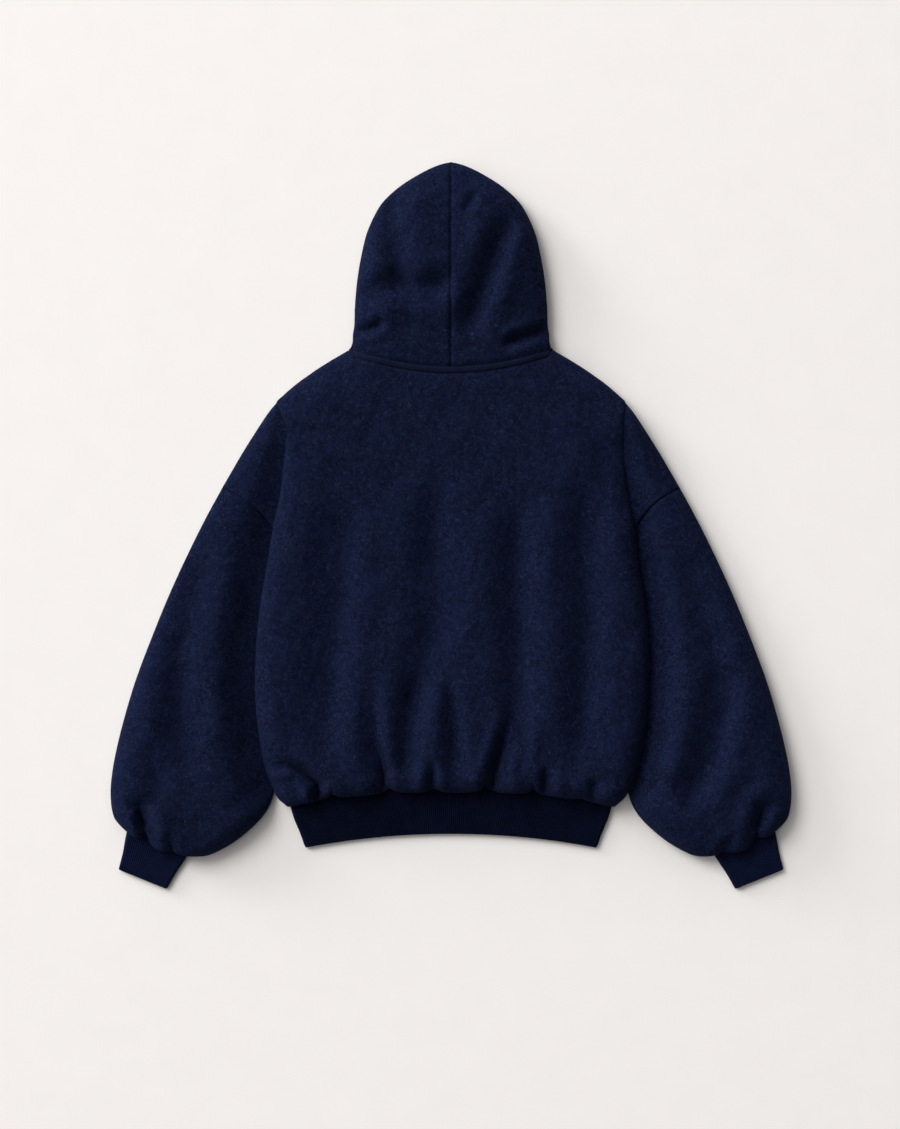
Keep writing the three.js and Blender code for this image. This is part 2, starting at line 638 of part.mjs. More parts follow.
function makeBack() {
  const surface = new Surface();
  const columns = bodyColumns(BODY_CELLS);
  const rows = [...dropRows, ...lowerRows, ...LIP_ROWS].map((row) =>
    columns.map((column) => backPoint(row, column)),
  );
  surface.grid(rows);
  for (const side of [-1, 1]) {
    const strips = dropRows.map((row, r) =>
      Array.from({ length: DROP_CELLS + 1 }, (_, i) =>
        i === 0 || r === 0 ? rows[r].at(side < 0 ? 0 : -1) : dropPoint(row, spread(i, DROP_CELLS), side),
      ),
    );
    surface.grid(strips, side < 0);
    aimDrop(surface, strips, side, 1);
  }
  aimEdges(surface, rows, 1);
  return { geometry: wall(surface, FLEECE), rows };
}

// One point of the front's mid surface: flat on the surface below, lifted at its sides where
// the sleeves lie under it, and turned up to the seams.
function frontPoint(row, column) {
  const drop = row / UNDERARM_ROW;
  const atBand = row > 1;
  const sideY = atBand ? bandTopY(BAND_WIDTHS[0].half) : rowSideY(row);
  const side = Math.sign(column.across) || 1;
  const half = bodyEdge(sideY, side) - (drop < 1.02 && drop > 0 ? SEAM_GAP : 0);
  const turnIn = mix(SIDE_ROLL * 0.25, 40, ease(drop * 3));
  const inset = turnIn * [1, 0.6, 0.3, 0.12, 0][Math.round(column.turn * ROLL_CELLS)];
  const x = column.across * (half - inset);
  const startY = frontTopY(Math.min(1, Math.abs(x) / half) * SHOULDER_EDGE);
  const restY = hemLineY(x) - 4 + LIP_ROLL;
  const y = atBand ? bandTopY(x) + SEAM_GAP + 0.05 : mix(startY, restY, row);
  let z = MID;
  if (drop < 1.02) {
    z = mix(MID, dropBelow(drop), ease(column.turn));
  } else if (column.turn > 0) {
    const lift = atBand ? 0 : SIDE_LIFT * (1 - ease((inset - 12) / 28));
    const edge = atBand ? HEM_SIDE_Z : SIDE_SEAM_Z - SEAM_GAP;
    z = mix(edge, MID + lift, round(inset / SIDE_TUCK_UP));
  }
  const shoulder = 1 - round(shoulderDistance(x, y) / UNDER_ROLL);
  return vector(x, y, Math.max(z, mix(MID, EDGE_SEAM_Z - SEAM_GAP, shoulder)));
}

function makeFront() {
  const surface = new Surface();
  const columns = bodyColumns(FRONT_CELLS);
  const levels = [...dropRows, ...lowerRows, 1.4];
  const rows = levels.map((row) => columns.map((column) => frontPoint(row, column)));
  surface.grid(rows, true);
  for (const side of [-1, 1]) {
    const strips = dropRows.map((row, r) =>
      Array.from({ length: UNDER_CELLS + 1 }, (_, i) => {
        if (i === 0 || r === 0) return rows[r].at(side < 0 ? 0 : -1);
        const share = spread(i, UNDER_CELLS);
        const plan = dropPlan(row, share, side);
        const z = armUnder(share, plan.width, dropBelow(row / UNDERARM_ROW), EDGE_SEAM_Z - SEAM_GAP);
        return vector(plan.x, plan.y, z);
      }),
    );
    surface.grid(strips, side > 0);
    aimDrop(surface, strips, side, -1);
  }
  aimEdges(surface, rows, -1);
  aimRim(surface, rows.at(-1).slice(1, -1), -1);
  return wall(surface, FLEECE);
}

const sleeveOf = Object.fromEntries(
  ["ox", "oy", "ix", "iy", "crown", "inner", "over"].map((key) => [key, through(SLEEVE_ROWS, "row", key)]),
);
const cuffAxis = { x: Math.sin(CUFF_LEAN), y: -Math.cos(CUFF_LEAN) };
const cuffHalf = through(CUFF_WIDTHS, "along", "half");
const cuffHeight = through(CUFF_WIDTHS, "along", "height");

// A ring of the sleeve, from its inner edge over the top to its outer edge and back below.
function sleeveRing(row, folds, side) {
  const [ox, oy, ix, iy] = ["ox", "oy", "ix", "iy"].map((key) => sleeveOf[key](row));
  const chord = Math.hypot(ox - ix, oy - iy);
  const [cx, cy] = [(ox - ix) / chord, (oy - iy) / chord];
  const inner = { x: ix + cx * MID, y: iy + cy * MID };
  const width = chord - 2 * MID;
  const section = {
    crown: sleeveOf.crown(row),
    inner: sleeveOf.inner(row),
    balloon: ease((row - 0.82) / 0.08),
  };
  const at = (share, top) => {
    if (row === 0) {
      const plan = dropPlan(UNDERARM_ROW, share, side);
      const apart = SEAM_GAP + 0.15 + 1.6 * (1 - share) ** 8;
      return { x: Math.abs(plan.x) + 0.63 * apart, y: plan.y - 0.78 * apart };
    }
    const belly = 1 - (2 * share - 1) ** 2;
    const pull = row > 0.95 ? pullAt(folds, inner.x + cx * share * width) : 0;
    const over = (top || row < 0.9 ? sleeveOf.over(row) : 0) * belly * (1 - 0.75 * pull);
    return { x: inner.x + cx * share * width + cy * over, y: inner.y + cy * share * width - cx * over };
  };
  const top = Array.from({ length: DROP_CELLS + 1 }, (_, i) => {
    const share = spread(i, DROP_CELLS);
    const { x, y } = at(share, true);
    const fold = foldDepth(folds, x, y) * Math.sin(Math.PI * share) ** 0.5 * (row < 0.96 ? 1 : 0.4);
    return vector(side * x, y, armTop(share, width, section) - fold);
  });
  const under = Array.from({ length: UNDER_CELLS - 1 }, (_, i) => {
    const share = 1 - spread(i + 1, UNDER_CELLS);
    const { x, y } = at(share, false);
    return vector(side * x, y, armUnder(share, width, section.inner, EDGE_SEAM_Z));
  });
  return [...top, ...under, top[0]];
}

// The ring where the sleeve meets the cuff. Its ends stand off by the cloth's thickness.
function sleeveEnd(half, topZ, side) {
  const at = (share) => {
    const up = SEAM_GAP + 0.1 + 1.5 * (2 * share - 1) ** 8;
    return {
      x: CUFF_TOP.x - cuffAxis.x * up - cuffAxis.y * half * (2 * share - 1),
      y: CUFF_TOP.y - cuffAxis.y * up + cuffAxis.x * half * (2 * share - 1),
    };
  };
  const middle = topZ / 2;
  const ring = [];
  for (let i = 0; i <= DROP_CELLS; i++) {
    const share = spread(i, DROP_CELLS);
    const { x, y } = at(share);
    const rise = round((1 - Math.abs(2 * share - 1)) * (half / (middle - MID)));
    ring.push(vector(side * x, y, mix(middle, topZ - MID, rise)));
  }
  for (let i = 1; i < UNDER_CELLS; i++) {
    const { x, y } = at(1 - spread(i, UNDER_CELLS));
    ring.push(vector(side * x, y, MID));
  }
  return [...ring, ring[0]];
}

function makeSleeve(folds, side) {
  const surface = new Surface();
  const rings = SLEEVE_RING_ROWS.map((row) => sleeveRing(row, folds, side));
  rings.push(sleeveEnd(cuffHalf(0) + 2.2, SLEEVE_END_Z + 1.6, side));
  surface.grid(rings, side < 0);
  aimRim(surface, rings[0].slice(1, DROP_CELLS), 1);
  aimRim(surface, rings[0].slice(DROP_CELLS + 1, -1), -1);
  surface.aim(rings[0][DROP_CELLS], side * 0.85, 0.53, 0);
  return wall(surface, FLEECE);
}

function makeCuff(side) {
  const ribs = Math.round((2 * cuffHalf(0.8)) / RIB_PITCH);
  const ring = (along, inside) =>
    ribSection(cuffHalf(along), cuffHeight(along), RIB_KNIT, ribs, inside).map(({ across, up, around }) => ({
      point: vector(
        side * (CUFF_TOP.x + cuffAxis.x * along * CUFF_LENGTH - cuffAxis.y * across),
        CUFF_TOP.y + cuffAxis.y * along * CUFF_LENGTH + cuffAxis.x * across,
        up,
      ),
      around,
    }));
  const rings = (inside) => Array.from({ length: RIB_RINGS }, (_, i) => ring(i / (RIB_RINGS - 1), inside));
  const turned = (list) => (side > 0 ? list : list.map(reversedRing));
  return tube(turned(rings(false)), turned(rings(true)));
}

// The same ring the other way round.
function reversedRing(ring) {
  const back = [ring[0], ...ring.slice(1).reverse()];
  return back.map((p, i) => ({ point: p.point, around: i === 0 ? 0 : 1 - p.around }));
}

const bandHalf = through(BAND_WIDTHS, "along", "half");
const bandHeight = through(BAND_WIDTHS, "along", "height");

function makeBand() {
  const ribs = Math.round((2 * bandHalf(0.5)) / RIB_PITCH);
  const ring = (along, inside) =>
    ribSection(bandHalf(along), bandHeight(along), RIB_KNIT, ribs, inside).map(({ across, up, around }) => {
      const bottom = BAND_BOTTOM_Y - BAND_BOTTOM_DROP * (across / bandHalf(1)) ** 2;
      return { point: vector(across, mix(bandTopY(across), bottom, along), up), around };
    });
  const rings = (inside) => Array.from({ length: RIB_RINGS }, (_, i) => ring(i / (RIB_RINGS - 1), inside));
  return tube(rings(false), rings(true));
}

const hoodEdge = through(HOOD_EDGE, "y", "half");
const hoodOf = Object.fromEntries(
  ["side", "back", "front", "crown", "opening"].map((key) => [key, through(HOOD_ROWS, "row", key)]),
);

// A ring of one hood panel, from the centre seam round the side to the face opening.
function hoodRing(row, side) {
  const [sideY, backY, frontY, crown] = ["side", "back", "front", "crown"].map((key) => hoodOf[key](row));
  const half = row === 0 ? NECK_HALF : hoodEdge(sideY) - MID;
  const opening = Math.max(SEAM_HALF, Math.min(hoodOf.opening(row), 0.4 * half));
  const roll = Math.min(HOOD_ROLL, 0.75 * half);
  const nearNeck = 1 - ease(row / 0.1);
  const gap = row === 0 ? SEAM_GAP + 0.05 : 0;
  const ring = [];
  for (let i = 0; i <= HOOD_TOP_CELLS; i++) {
    const share = row < 0.05 ? i / HOOD_TOP_CELLS : Math.sin((Math.PI * i) / HOOD_TOP_CELLS / 2) ** 0.9;
    const x = Math.max(SEAM_HALF, half * share);
    const y = mix(backY, sideY, share ** 2) + gap * (1 + 2.5 * share ** 5);
    const own = crown - (crown - EDGE_SEAM_Z) * (1 - round((half - x) / roll));
    const z = mix(own, bodyTop(x, y), nearNeck) - foldDepth(HOOD_FOLDS, side * x, y) * (1 - nearNeck) * (1 - share ** 4);
    ring.push(vector(side * x, y, Math.min(z, row > 0.97 ? crown : 99)));
  }
  for (let i = 1; i <= HOOD_UNDER_CELLS; i++) {
    const share = 1 - i / HOOD_UNDER_CELLS;
    const x = Math.max(opening, mix(opening, half, share));
    const atNeck = row === 0 ? Math.max(opening, NECK_HALF * share) : x;
    const arc = row === 0 ? frontNeckY(atNeck) : mix(frontY, sideY, 1 - Math.sqrt(1 - clamp(x / half) ** 2));
    const rolled = (EDGE_SEAM_Z - MID) * (1 - round((half - x) / HOOD_UNDER_ROLL));
    const neck = (EDGE_SEAM_Z - MID) * (1 - round(shoulderDistance(atNeck, arc) / UNDER_ROLL));
    const apart = gap * (i < 3 ? 6 : 1);
    ring.push(vector(side * atNeck, arc + apart, MID + mix(rolled, neck, row === 0 ? 1 : 0)));
  }
  return ring;
}

function makeHoodPanel(side) {
  const surface = new Surface();
  const rings = HOOD_RING_ROWS.map((row) => hoodRing(row, side));
  const last = rings.at(-1);
  const peakY = HOOD_EDGE.at(-1).y;
  rings.push(last.map((p, i) => vector(side * SEAM_HALF, peakY, mix(last[0].z, last.at(-1).z, i / (last.length - 1)))));
  surface.grid(rings, side > 0);
  const normals = surface.normals();
  surface.points.forEach((p, i) => {
    if (Math.abs(p.x) <= SEAM_HALF + 0.01) surface.aimed.set(i, vector(0, normals[i].y, normals[i].z).normalize());
  });
  aimRim(surface, rings[0].slice(0, HOOD_TOP_CELLS), 1);
  aimRim(surface, rings[0].slice(HOOD_TOP_CELLS + 1), -1);
  surface.aim(rings[0][HOOD_TOP_CELLS], side, 0, 0);
  return wall(surface, FLEECE);
}

// The tape follows the back's first rows, moved out over them.
function makeTape(rows) {
  const surface = new Surface();
  const inNeck = rows[0].map((p, j) => j).filter((j) => Math.abs(rows[0][j].x) < NECK_HALF - 5);
  const lift = MID + SEAM_GAP + TAPE / 2 + 0.1;
  const strip = (from) =>
    inNeck.map((j) => {
      const down = rows[1][j].clone().sub(rows[0][j]).normalize();
      const across = rows[0][j + 1].clone().sub(rows[0][j - 1]);
      const out = down.clone().cross(across).normalize();
      return rows[0][j].clone().addScaledVector(down, from).addScaledVector(out, lift);
    });
  surface.grid([strip(-TAPE_OVER), strip(TAPE_WIDTH / 2), strip(TAPE_WIDTH)]);
  return wall(surface, TAPE);
}

const back = makeBack();
const parts = new THREE.Group();
parts.add(named("back", back.geometry, NAVY));
parts.add(named("front", makeFront(), NAVY));
parts.add(named("sleeve_left", makeSleeve(LEFT_SLEEVE_FOLDS, -1), NAVY));
parts.add(named("sleeve_right", makeSleeve(RIGHT_SLEEVE_FOLDS, 1), NAVY));
parts.add(named("cuff_left", makeCuff(-1), RIB_NAVY));
parts.add(named("cuff_right", makeCuff(1), RIB_NAVY));
parts.add(named("hem_band", makeBand(), RIB_NAVY));
parts.add(named("hood_left", makeHoodPanel(-1), NAVY));
parts.add(named("hood_right", makeHoodPanel(1), NAVY));
parts.add(named("neck_tape", makeTape(back.rows), NAVY));

export default parts;
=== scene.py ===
# Pullover hoodie in brushed navy fleece, laid face down with its back up.
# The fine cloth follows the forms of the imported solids. Sizes are in millimetres unless a
# name says otherwise. X runs across the back, Y towards the hood, Z up from the surface.

import math

import bpy
import numpy as np
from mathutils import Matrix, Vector

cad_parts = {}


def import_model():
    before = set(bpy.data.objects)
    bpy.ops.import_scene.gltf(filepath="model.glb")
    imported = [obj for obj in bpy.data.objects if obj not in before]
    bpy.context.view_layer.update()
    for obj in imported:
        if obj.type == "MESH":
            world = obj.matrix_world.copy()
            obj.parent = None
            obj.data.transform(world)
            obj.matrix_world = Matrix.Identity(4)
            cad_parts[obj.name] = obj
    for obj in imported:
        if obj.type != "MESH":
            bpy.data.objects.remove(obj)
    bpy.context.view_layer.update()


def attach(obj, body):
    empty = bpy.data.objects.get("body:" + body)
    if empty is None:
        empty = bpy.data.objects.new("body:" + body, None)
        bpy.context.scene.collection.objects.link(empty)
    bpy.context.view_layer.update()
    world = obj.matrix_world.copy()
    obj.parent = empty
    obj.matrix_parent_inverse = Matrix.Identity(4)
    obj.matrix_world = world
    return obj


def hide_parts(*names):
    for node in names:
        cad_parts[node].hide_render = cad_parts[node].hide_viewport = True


METRES = 0.001

# Photograph
PHOTO_SIZE = (900, 1129)
ORIGIN_PIXEL = (451, 526)
MM_PER_PIXEL = 1.5
CAMERA_HEIGHT = 4000
CAMERA_LEVEL = 20
SENSOR = 36

# Cloth: thicknesses, seams, and thick fleece's low waves and dents, with a seed for each piece
FLEECE = 2.5
MID = FLEECE / 2
RIB_KNIT = 3
TAPE = 1.3
SEAM_GAP = 0.3
SEAM_EXTRA = 0.05
SEAM_DIP = 3.2
SEAM_SOFT = 2.2
SEAM_CLOSED = 0.02
WAVE_HEIGHT = 0.8
WAVE_SIZE = 46
DENT_HEIGHT = 0.28
DENT_SIZE = 15
BACK_SEED = 3
SLEEVE_SEED = 11
HOOD_SEED = 23

# Body
NECK_HALF = 151.65
BACK_NECK_Y = 237
NECK_POINT_Y = 264
FRONT_NECK_Y = 172
SHOULDER_HALF = 262
SHOULDER_END_Y = 185
UNDERARM_Y = -3
BODY_CROWN = 40
HEM_CROWN = 47
EDGE_SEAM_Z = 13
SIDE_SEAM_Z = 17.6
SIDE_LIFT = 11
SIDE_TUCK_UP = 5
SIDE_ROLL = 32
SHOULDER_ROLL = 62
UNDER_ROLL = 22
LIP_ROLL = 24
LIP_Z = 21
LIP_TUCK = 13
LIP_TURN = math.radians(150)
LIP_SIDE_ROLL = 9
LIP_PAST_SEAM = 4
HEM_SEAM_Z = 13.9
HEM_SIDE_Z = 6.4
HEM_LINE_Y = -395
HEM_DROP = 22
HEM_HALF = 245
SHOULDER_OUT = (0.62, 0.78)
ARMHOLE_OUT = (0.85, 0.53)

# Sleeves and cuffs
SLEEVE_OUTER_ROLL = 46
SLEEVE_INNER_ROLL = 70
BALLOON_ROLL = 34
SLEEVE_END_Z = 16.6
SLEEVE_LENGTH = 520
SLEEVE_AWAY = (0.63, 0.78)
CUFF_TOP = (441, -474)
CUFF_LENGTH = 62
CUFF_LEAN = math.radians(22)
CUFF_AXIS = (math.sin(CUFF_LEAN), -math.cos(CUFF_LEAN))

# Hem band and ribs
BAND_TOP_Y = -391
BAND_TOP_DROP = 22
BAND_TOP_HALF = 244
BAND_BOTTOM_Y = -463
BAND_BOTTOM_DROP = 21
RIB_PITCH = 3.1
RIB_DEPTH = 0.9
CELLS_A_RIB = 8

# Hood and neck tape
HOOD_ROLL = 62
HOOD_UNDER_ROLL = 24
SEAM_HALF = 0.01
HOOD_DIP = 3.4
HOOD_SOFT = 2.8
NECK_DIP = 3.6
NECK_SOFT = 5
HOOD_RISE = 290
TAPE_GROOVE = 2.6
GROOVE_AWAY = 2.6
GROOVE_SOFT = 2.3
TAPE_WIDTH = 6.4
TAPE_OVER = 0.8
TAPE_PILLOW = 0.9
STITCH = 3.0
STITCH_PITCH = 4.2
STITCH_THICK = 0.55
STITCH_LINES = (0.5, TAPE_WIDTH - 0.7)
THREAD_SIDES = 8

# Folds
PUFF_BESIDE = 0.3
PULL_REACH = 9
PINCH_DEPTH = 0.7
PINCH_WIDTH = 0.36
PINCH_FROM = 0.4

# Cells of the fine grids
BODY_CELLS = 150
ROLL_CELLS = 14
DROP_ROWS_FINE = 64
LOWER_ROWS = 132
LIP_ROWS = 22
DROP_CELLS = 46
UNDER_CELLS = 22
FRONT_CELLS = 70
SLEEVE_RINGS = 190
SLEEVE_CELLS = 66
SLEEVE_END_RINGS = 10
HOOD_RINGS = 130
HOOD_TOP_CELLS = 62
HOOD_UNDER_CELLS = 34
RIB_RINGS = 16

# Colours, as linear shares of red, green and blue
FLEECE_DARK = (0.0004, 0.0010, 0.0058)
FLEECE_PALE = (0.0023, 0.0040, 0.0158)
FLEECE_TIPS = (0.0123, 0.0186, 0.0535)
RIB_DARK = (0.0012, 0.0022, 0.0105)
RIB_PALE = (0.0028, 0.0046, 0.0185)
RIB_YARN = (0.0065, 0.0098, 0.030)
# Factors on the rib colours of one and the same knit: the hem band is painted darker (painted shade) and
# the cuffs lighter (painted light).
BAND_PAINTED_SHADE = 0.75
CUFF_PAINTED_LIGHT = 1.35
TAPE_DARK = (0.0030, 0.0048, 0.0170)
TAPE_PALE = (0.0052, 0.0080, 0.0250)
TAPE_NAP = (0.0125, 0.0185, 0.045)
THREAD_DARK = (0.003, 0.0045, 0.014)
THREAD_PALE = (0.008, 0.012, 0.032)
FLOOR_DARK = (0.855, 0.825, 0.806)
FLOOR_PALE = (0.87, 0.84, 0.82)

# Lights: name, place in metres, size in metres and power in watts. The surround fades from its
# bright side to nothing where the cosine of the angle to that side is SURROUND_FROM.
LIGHTS = (
    ("key", (-10.2, 8.8, 13.2), 10, 2150),
    ("raking", (-17.5, 11.5, 5.4), 7, 2500),
)
LIGHT_COLOUR = (1, 0.992, 0.985)
SURROUND_COLOUR = (1, 0.994, 0.99, 1)
SURROUND_SIDE = (-0.75, 0.57, 0.34)
SURROUND_FROM = -0.2
SURROUND_LIGHT = 1.28
FLOOR_SIZE = 12
FLOOR_Z = -0.0004


def table(columns, *rows):
    """Rows of numbers as named columns."""
    return dict(zip(columns.split(), np.array(rows, float).T))


BODY_EDGE = table(
    "y left right",
    (185, 262, 262),
    (144, 247, 258),
    (93, 250.5, 259.5),
    (39, 258, 268),
    (0, 267, 276),
    (-50, 275, 280.5),
    (-111, 286, 291),
    (-171, 292.5, 296.5),
    (-246, 294, 295.5),
    (-300, 289, 291),
    (-355, 279, 280),
    (-388, 267, 269),
    (-405, 260, 260),
    (-421, 247, 247),
)
SHOULDER_LINE = table("x y", (NECK_HALF, NECK_POINT_Y), (187, 243), (214, 225), (238, 207), (262, 185))

# The part of the body that drops over the shoulder, from the fold's start to the armhole seam.
DROP_ROWS = table(
    "row x y crown valley below",
    (0, 262, 185, 13, 13, 12.7),
    (0.1, 273, 172, 28, 27, 3),
    (0.25, 288, 150, 34, 31, 1.25),
    (0.5, 312, 112, 33, 23.5, 1.25),
    (0.75, 329, 83, 31, 17, 2.5),
    (1, 344, 57, 30, 15, 10.9),
)

# The sleeve from the armhole seam to the cuff: outer edge, inner edge and heights.
SLEEVE_ROWS = table(
    "row ox oy ix iy crown inner over",
    (0, 344, 57, 270, -3, 30, 6, -7),
    (0.1, 368, 13, 272, -50, 31, 7, -6),
    (0.22, 394, -39, 280, -104, 33, 7, -4),
    (0.36, 423, -102, 286, -162, 36, 7, -2),
    (0.5, 450, -168, 287, -222, 39, 7, 0),
    (0.62, 474, -232, 284, -278, 42, 7, 0),
    (0.73, 492, -292, 278, -334, 45, 6.5, 0),
    (0.82, 505, -346, 265.5, -390, 46, 7, 0),
    (0.88, 511, -386, 279, -431, 46, 10, 0),
    (0.93, 511, -415, 318, -469, 44, 11, 0),
    (0.965, 507, -435, 355, -491, 38, 11, 6),
    (0.985, 501, -444, 373, -495.5, 29, 10, 12),
    (1, 495.5, -449, 386, -492.5, 20.5, 8, 14),
)
CUFF_WIDTHS = table("along half height", (0, 50, 11.6), (0.25, 47, 11), (0.6, 42.5, 10.2), (1, 39.3, 9.2))
BAND_WIDTHS = table("along half height", (0, 244, 12), (0.35, 237, 11.4), (0.7, 227, 10.4), (1, 219.5, 9.4))
HOOD_EDGE = table(
    "y half",
    (264, 152.9),
    (274, 148),
    (288, 147.5),
    (300, 145.5),
    (330, 144.5),
    (369, 141),
    (405, 135),
    (441, 126),
    (477, 109),
    (495, 94),
    (513, 72),
    (531, 42),
    (541, 20),
    (546, 2),
)

# Hood rows from the neck seam to the peak: Y at the side, the centre seam and the face
# opening, the crown's height and half the opening's width.
HOOD_ROWS = table(
    "row side back front crown opening",
    (0, 264, 237, 172, 40, 4),
    (0.1, 288, 268, 205, 41, 15),
    (0.25, 330, 318, 262, 46, 34),
    (0.45, 386, 380, 340, 51, 48),
    (0.62, 434, 432, 405, 51, 46),
    (0.76, 475, 474, 455, 46, 30),
    (0.87, 506, 507, 492, 37, 0.01),
    (0.95, 531, 534, 525, 25, 0.01),
    (1, 544, 545, 544, 13, 0.01),
)

# Folds are soft troughs through three points. A positive lean makes the left flank the wide
# one. A fold with a pull is a crease that runs into a lip and draws it back that far.
FOLD = "x1 y1 x2 y2 x3 y3 width depth lean pull"
BACK_FOLDS = table(
    FOLD,
    (-266, -346, -224, -368, -178, -404, 9, 18, -0.3, 8),
    (-124, -200, -111, -328, -92, -408, 14, 14, 0.2, 9),
    (-27, -342, -27, -368, -26, -408, 8, 12, 0.1, 7),
    (103, -250, 78, -330, 51, -408, 13, 18, -0.2, 12),
    (144, -352, 141, -378, 124, -410, 9, 16, -0.2, 10),
    (224, -372, 214, -388, 196, -412, 9, 9, 0, 4),
    (-19, 90, -26, -150, -62, -300, 26, 10, 0, 0),
    (-50, -210, -62, -310, -76, -392, 17, 12, 0, 0),
    (-4, -215, 6, -310, 5, -388, 13, 10, 0, 0),
    (98, 60, 99, -130, 100, -350, 23, 12, 0, 0),
    (110, -290, 110, -330, 100, -380, 9, 6, 0, 0),
    (198, 90, 205, -150, 192, -390, 24, 12, 0, 0),
    (-152, 70, -176, -160, -190, -370, 28, 11, 0.2, 0),
    (-240, -372, -232, -388, -226, -408, 9, 5, 0, 0),
    (-262, 125, -246, 130, -222, 150, 28, 6, 0, 0),
    (240, 140, 232, 70, 236, 0, 26, 7, 0, 0),
)
LEFT_SLEEVE_FOLDS = table(
    FOLD,
    (502, -410, 467, -421, 456, -468, 11, 19, 0.3, 12),
    (424, -452, 420, -468, 415, -490, 8, 9, 0, 5),
    (372, -10, 408, -190, 398, -410, 26, 13, 0, 0),
    (456, -320, 444, -380, 440, -440, 18, 7, 0, 0),
)
RIGHT_SLEEVE_FOLDS = table(
    FOLD,
    (498, -408, 468, -422, 457, -468, 11, 17, 0.2, 11),
    (427, -448, 418, -475, 404, -498, 9, 11, 0, 8),
    (424, -200, 388, -345, 344, -430, 24, 15, 0.2, 0),
    (348, -30, 384, -130, 408, -270, 24, 9, 0, 0),
)
HOOD_FOLDS = table(
    FOLD,
    (94, 480, 60, 380, 18, 276, 17, 15, 0.1, 0),
    (36, 502, 30, 486, 20, 466, 7, 5, 0, 0),
    (168, 300, 124, 286, 70, 268, 9, 13, 0, 0),
    (-168, 289, -130, 293, -96, 302, 8, 12, 0, 0),
    (-92, 510, -82, 425, -74, 340, 18, 12, 0, 0),
    (-140, 358, -60, 354, 10, 364, 18, 10, 0, 0),
)


def clamp(t):
    return np.clip(t, 0, 1)


def ease(t):
    t = clamp(t)
    return t * t * (3 - 2 * t)


def mix(a, b, t):
    return a + (b - a) * t


def quarter(t):
    """A quarter circle that rises from 0 to 1."""
    return np.sqrt(1 - (1 - clamp(t)) ** 2)


def spread(cells):
    """Shares of the way across, closer together at both ends."""
    even = np.linspace(0, 1, cells + 1)
    return mix(even, (1 - np.cos(np.pi * even)) / 2, 0.6)


def through(rows, key, value):
    """A smooth curve through one column of a table, against another column."""
    order = np.argsort(rows[key])
    keys, values = rows[key][order], rows[value][order]
    places = np.arange(len(keys))
    before, after = np.maximum(places - 1, 0), np.minimum(places + 1, len(keys) - 1)
    slope = (values[after] - values[before]) / (keys[after] - keys[before])

    def at(where):
        inside = np.clip(where, keys[0], keys[-1])
        i = np.clip(np.searchsorted(keys, inside) - 1, 0, len(keys) - 2)
        step = keys[i + 1] - keys[i]
        t = (inside - keys[i]) / step
        start = (1 + 2 * t) * (1 - t) ** 2 * values[i] + t * (1 - t) ** 2 * step * slope[i]
        end = t * t * (3 - 2 * t) * values[i + 1] + t * t * (t - 1) * step * slope[i + 1]
        return start + end

    return at


def curves(rows, key):
    """A smooth curve for every other column of a table."""
    return {name: through(rows, key, name) for name in rows if name != key}


def to_segment(x, y, ax, ay, bx, by):
    """Distance from a segment, share along it, and the side that a point is on."""
    along = clamp(((x - ax) * (bx - ax) + (y - ay) * (by - ay)) / ((bx - ax) ** 2 + (by - ay) ** 2))
    off_x, off_y = x - mix(ax, bx, along), y - mix(ay, by, along)
    return np.hypot(off_x, off_y), along, np.sign((bx - ax) * off_y - (by - ay) * off_x)


def fold_depth(folds, x, y):
    """How far the folds push the cloth down: troughs, each with a low puff beside it."""
    depth = np.zeros(np.broadcast(x, y).shape)
    rows = zip(*(folds[name] for name in FOLD.split()))
    for x1, y1, x2, y2, x3, y3, width, fold, lean, pull in rows:
        upper = to_segment(x, y, x1, y1, x2, y2)
        lower = to_segment(x, y, x2, y2, x3, y3)
        is_upper = upper[0] < lower[0]
        away = np.where(is_upper, upper[0], lower[0])
        along = np.where(is_upper, upper[1] / 2, 0.5 + lower[1] / 2)
        flank = np.where(is_upper, upper[2], lower[2])
        far = away / (width * (1 - lean * flank * ease(away / width)))
        trough = np.exp(-far * far) - PUFF_BESIDE * np.exp(-((far - 2) ** 2))
        if pull > 0:
            pinch = PINCH_DEPTH * np.exp(-((away / (PINCH_WIDTH * width)) ** 2))
            pinch = pinch * ease((along - PINCH_FROM) / 0.4)
            depth = depth + fold * (trough * ease(along * 1.6) + pinch)
        else:
            depth = depth + fold * trough * ease(1.5 * np.sin(np.pi * along))
    return depth


def pull_at(folds, x):
    """How far the creases draw the lip back at x."""
    ends = zip(folds["x3"], folds["pull"])
    return np.maximum.reduce([pull * np.exp(-np.abs(x - end) / PULL_REACH) for end, pull in ends])


def ripple(x, y, size, seed):
    """Smooth unevenness about 1 high, with hollows about this size."""
    chance = np.random.default_rng(seed)
    total = 0
    for _ in range(12):
        angle, phase = chance.uniform(0, 2 * np.pi, 2)
        length = size * chance.uniform(0.8, 1.9)
        total = total + np.sin((x * np.cos(angle) + y * np.sin(angle)) * 2 * np.pi / length + phase)
    return total / math.sqrt(12)


def softness(x, y, seed):
    """The low unevenness of thick fleece."""
    waves = WAVE_HEIGHT * ripple(x, y, WAVE_SIZE, seed)
    return waves + DENT_HEIGHT * ripple(x, y, DENT_SIZE, seed + 1)


def stack(x, y, z):
    return np.stack(np.broadcast_arrays(x, y, z), axis=-1).astype(float)


body_of = curves(BODY_EDGE, "y")
drop_of = curves(DROP_ROWS, "row")
sleeve_of = curves(SLEEVE_ROWS, "row")
cuff_of = curves(CUFF_WIDTHS, "along")
band_of = curves(BAND_WIDTHS, "along")
hood_of = curves(HOOD_ROWS, "row")
hood_edge = through(HOOD_EDGE, "y", "half")
shoulder_y = through(SHOULDER_LINE, "x", "y")
SHOULDER_EDGE = SHOULDER_HALF - MID


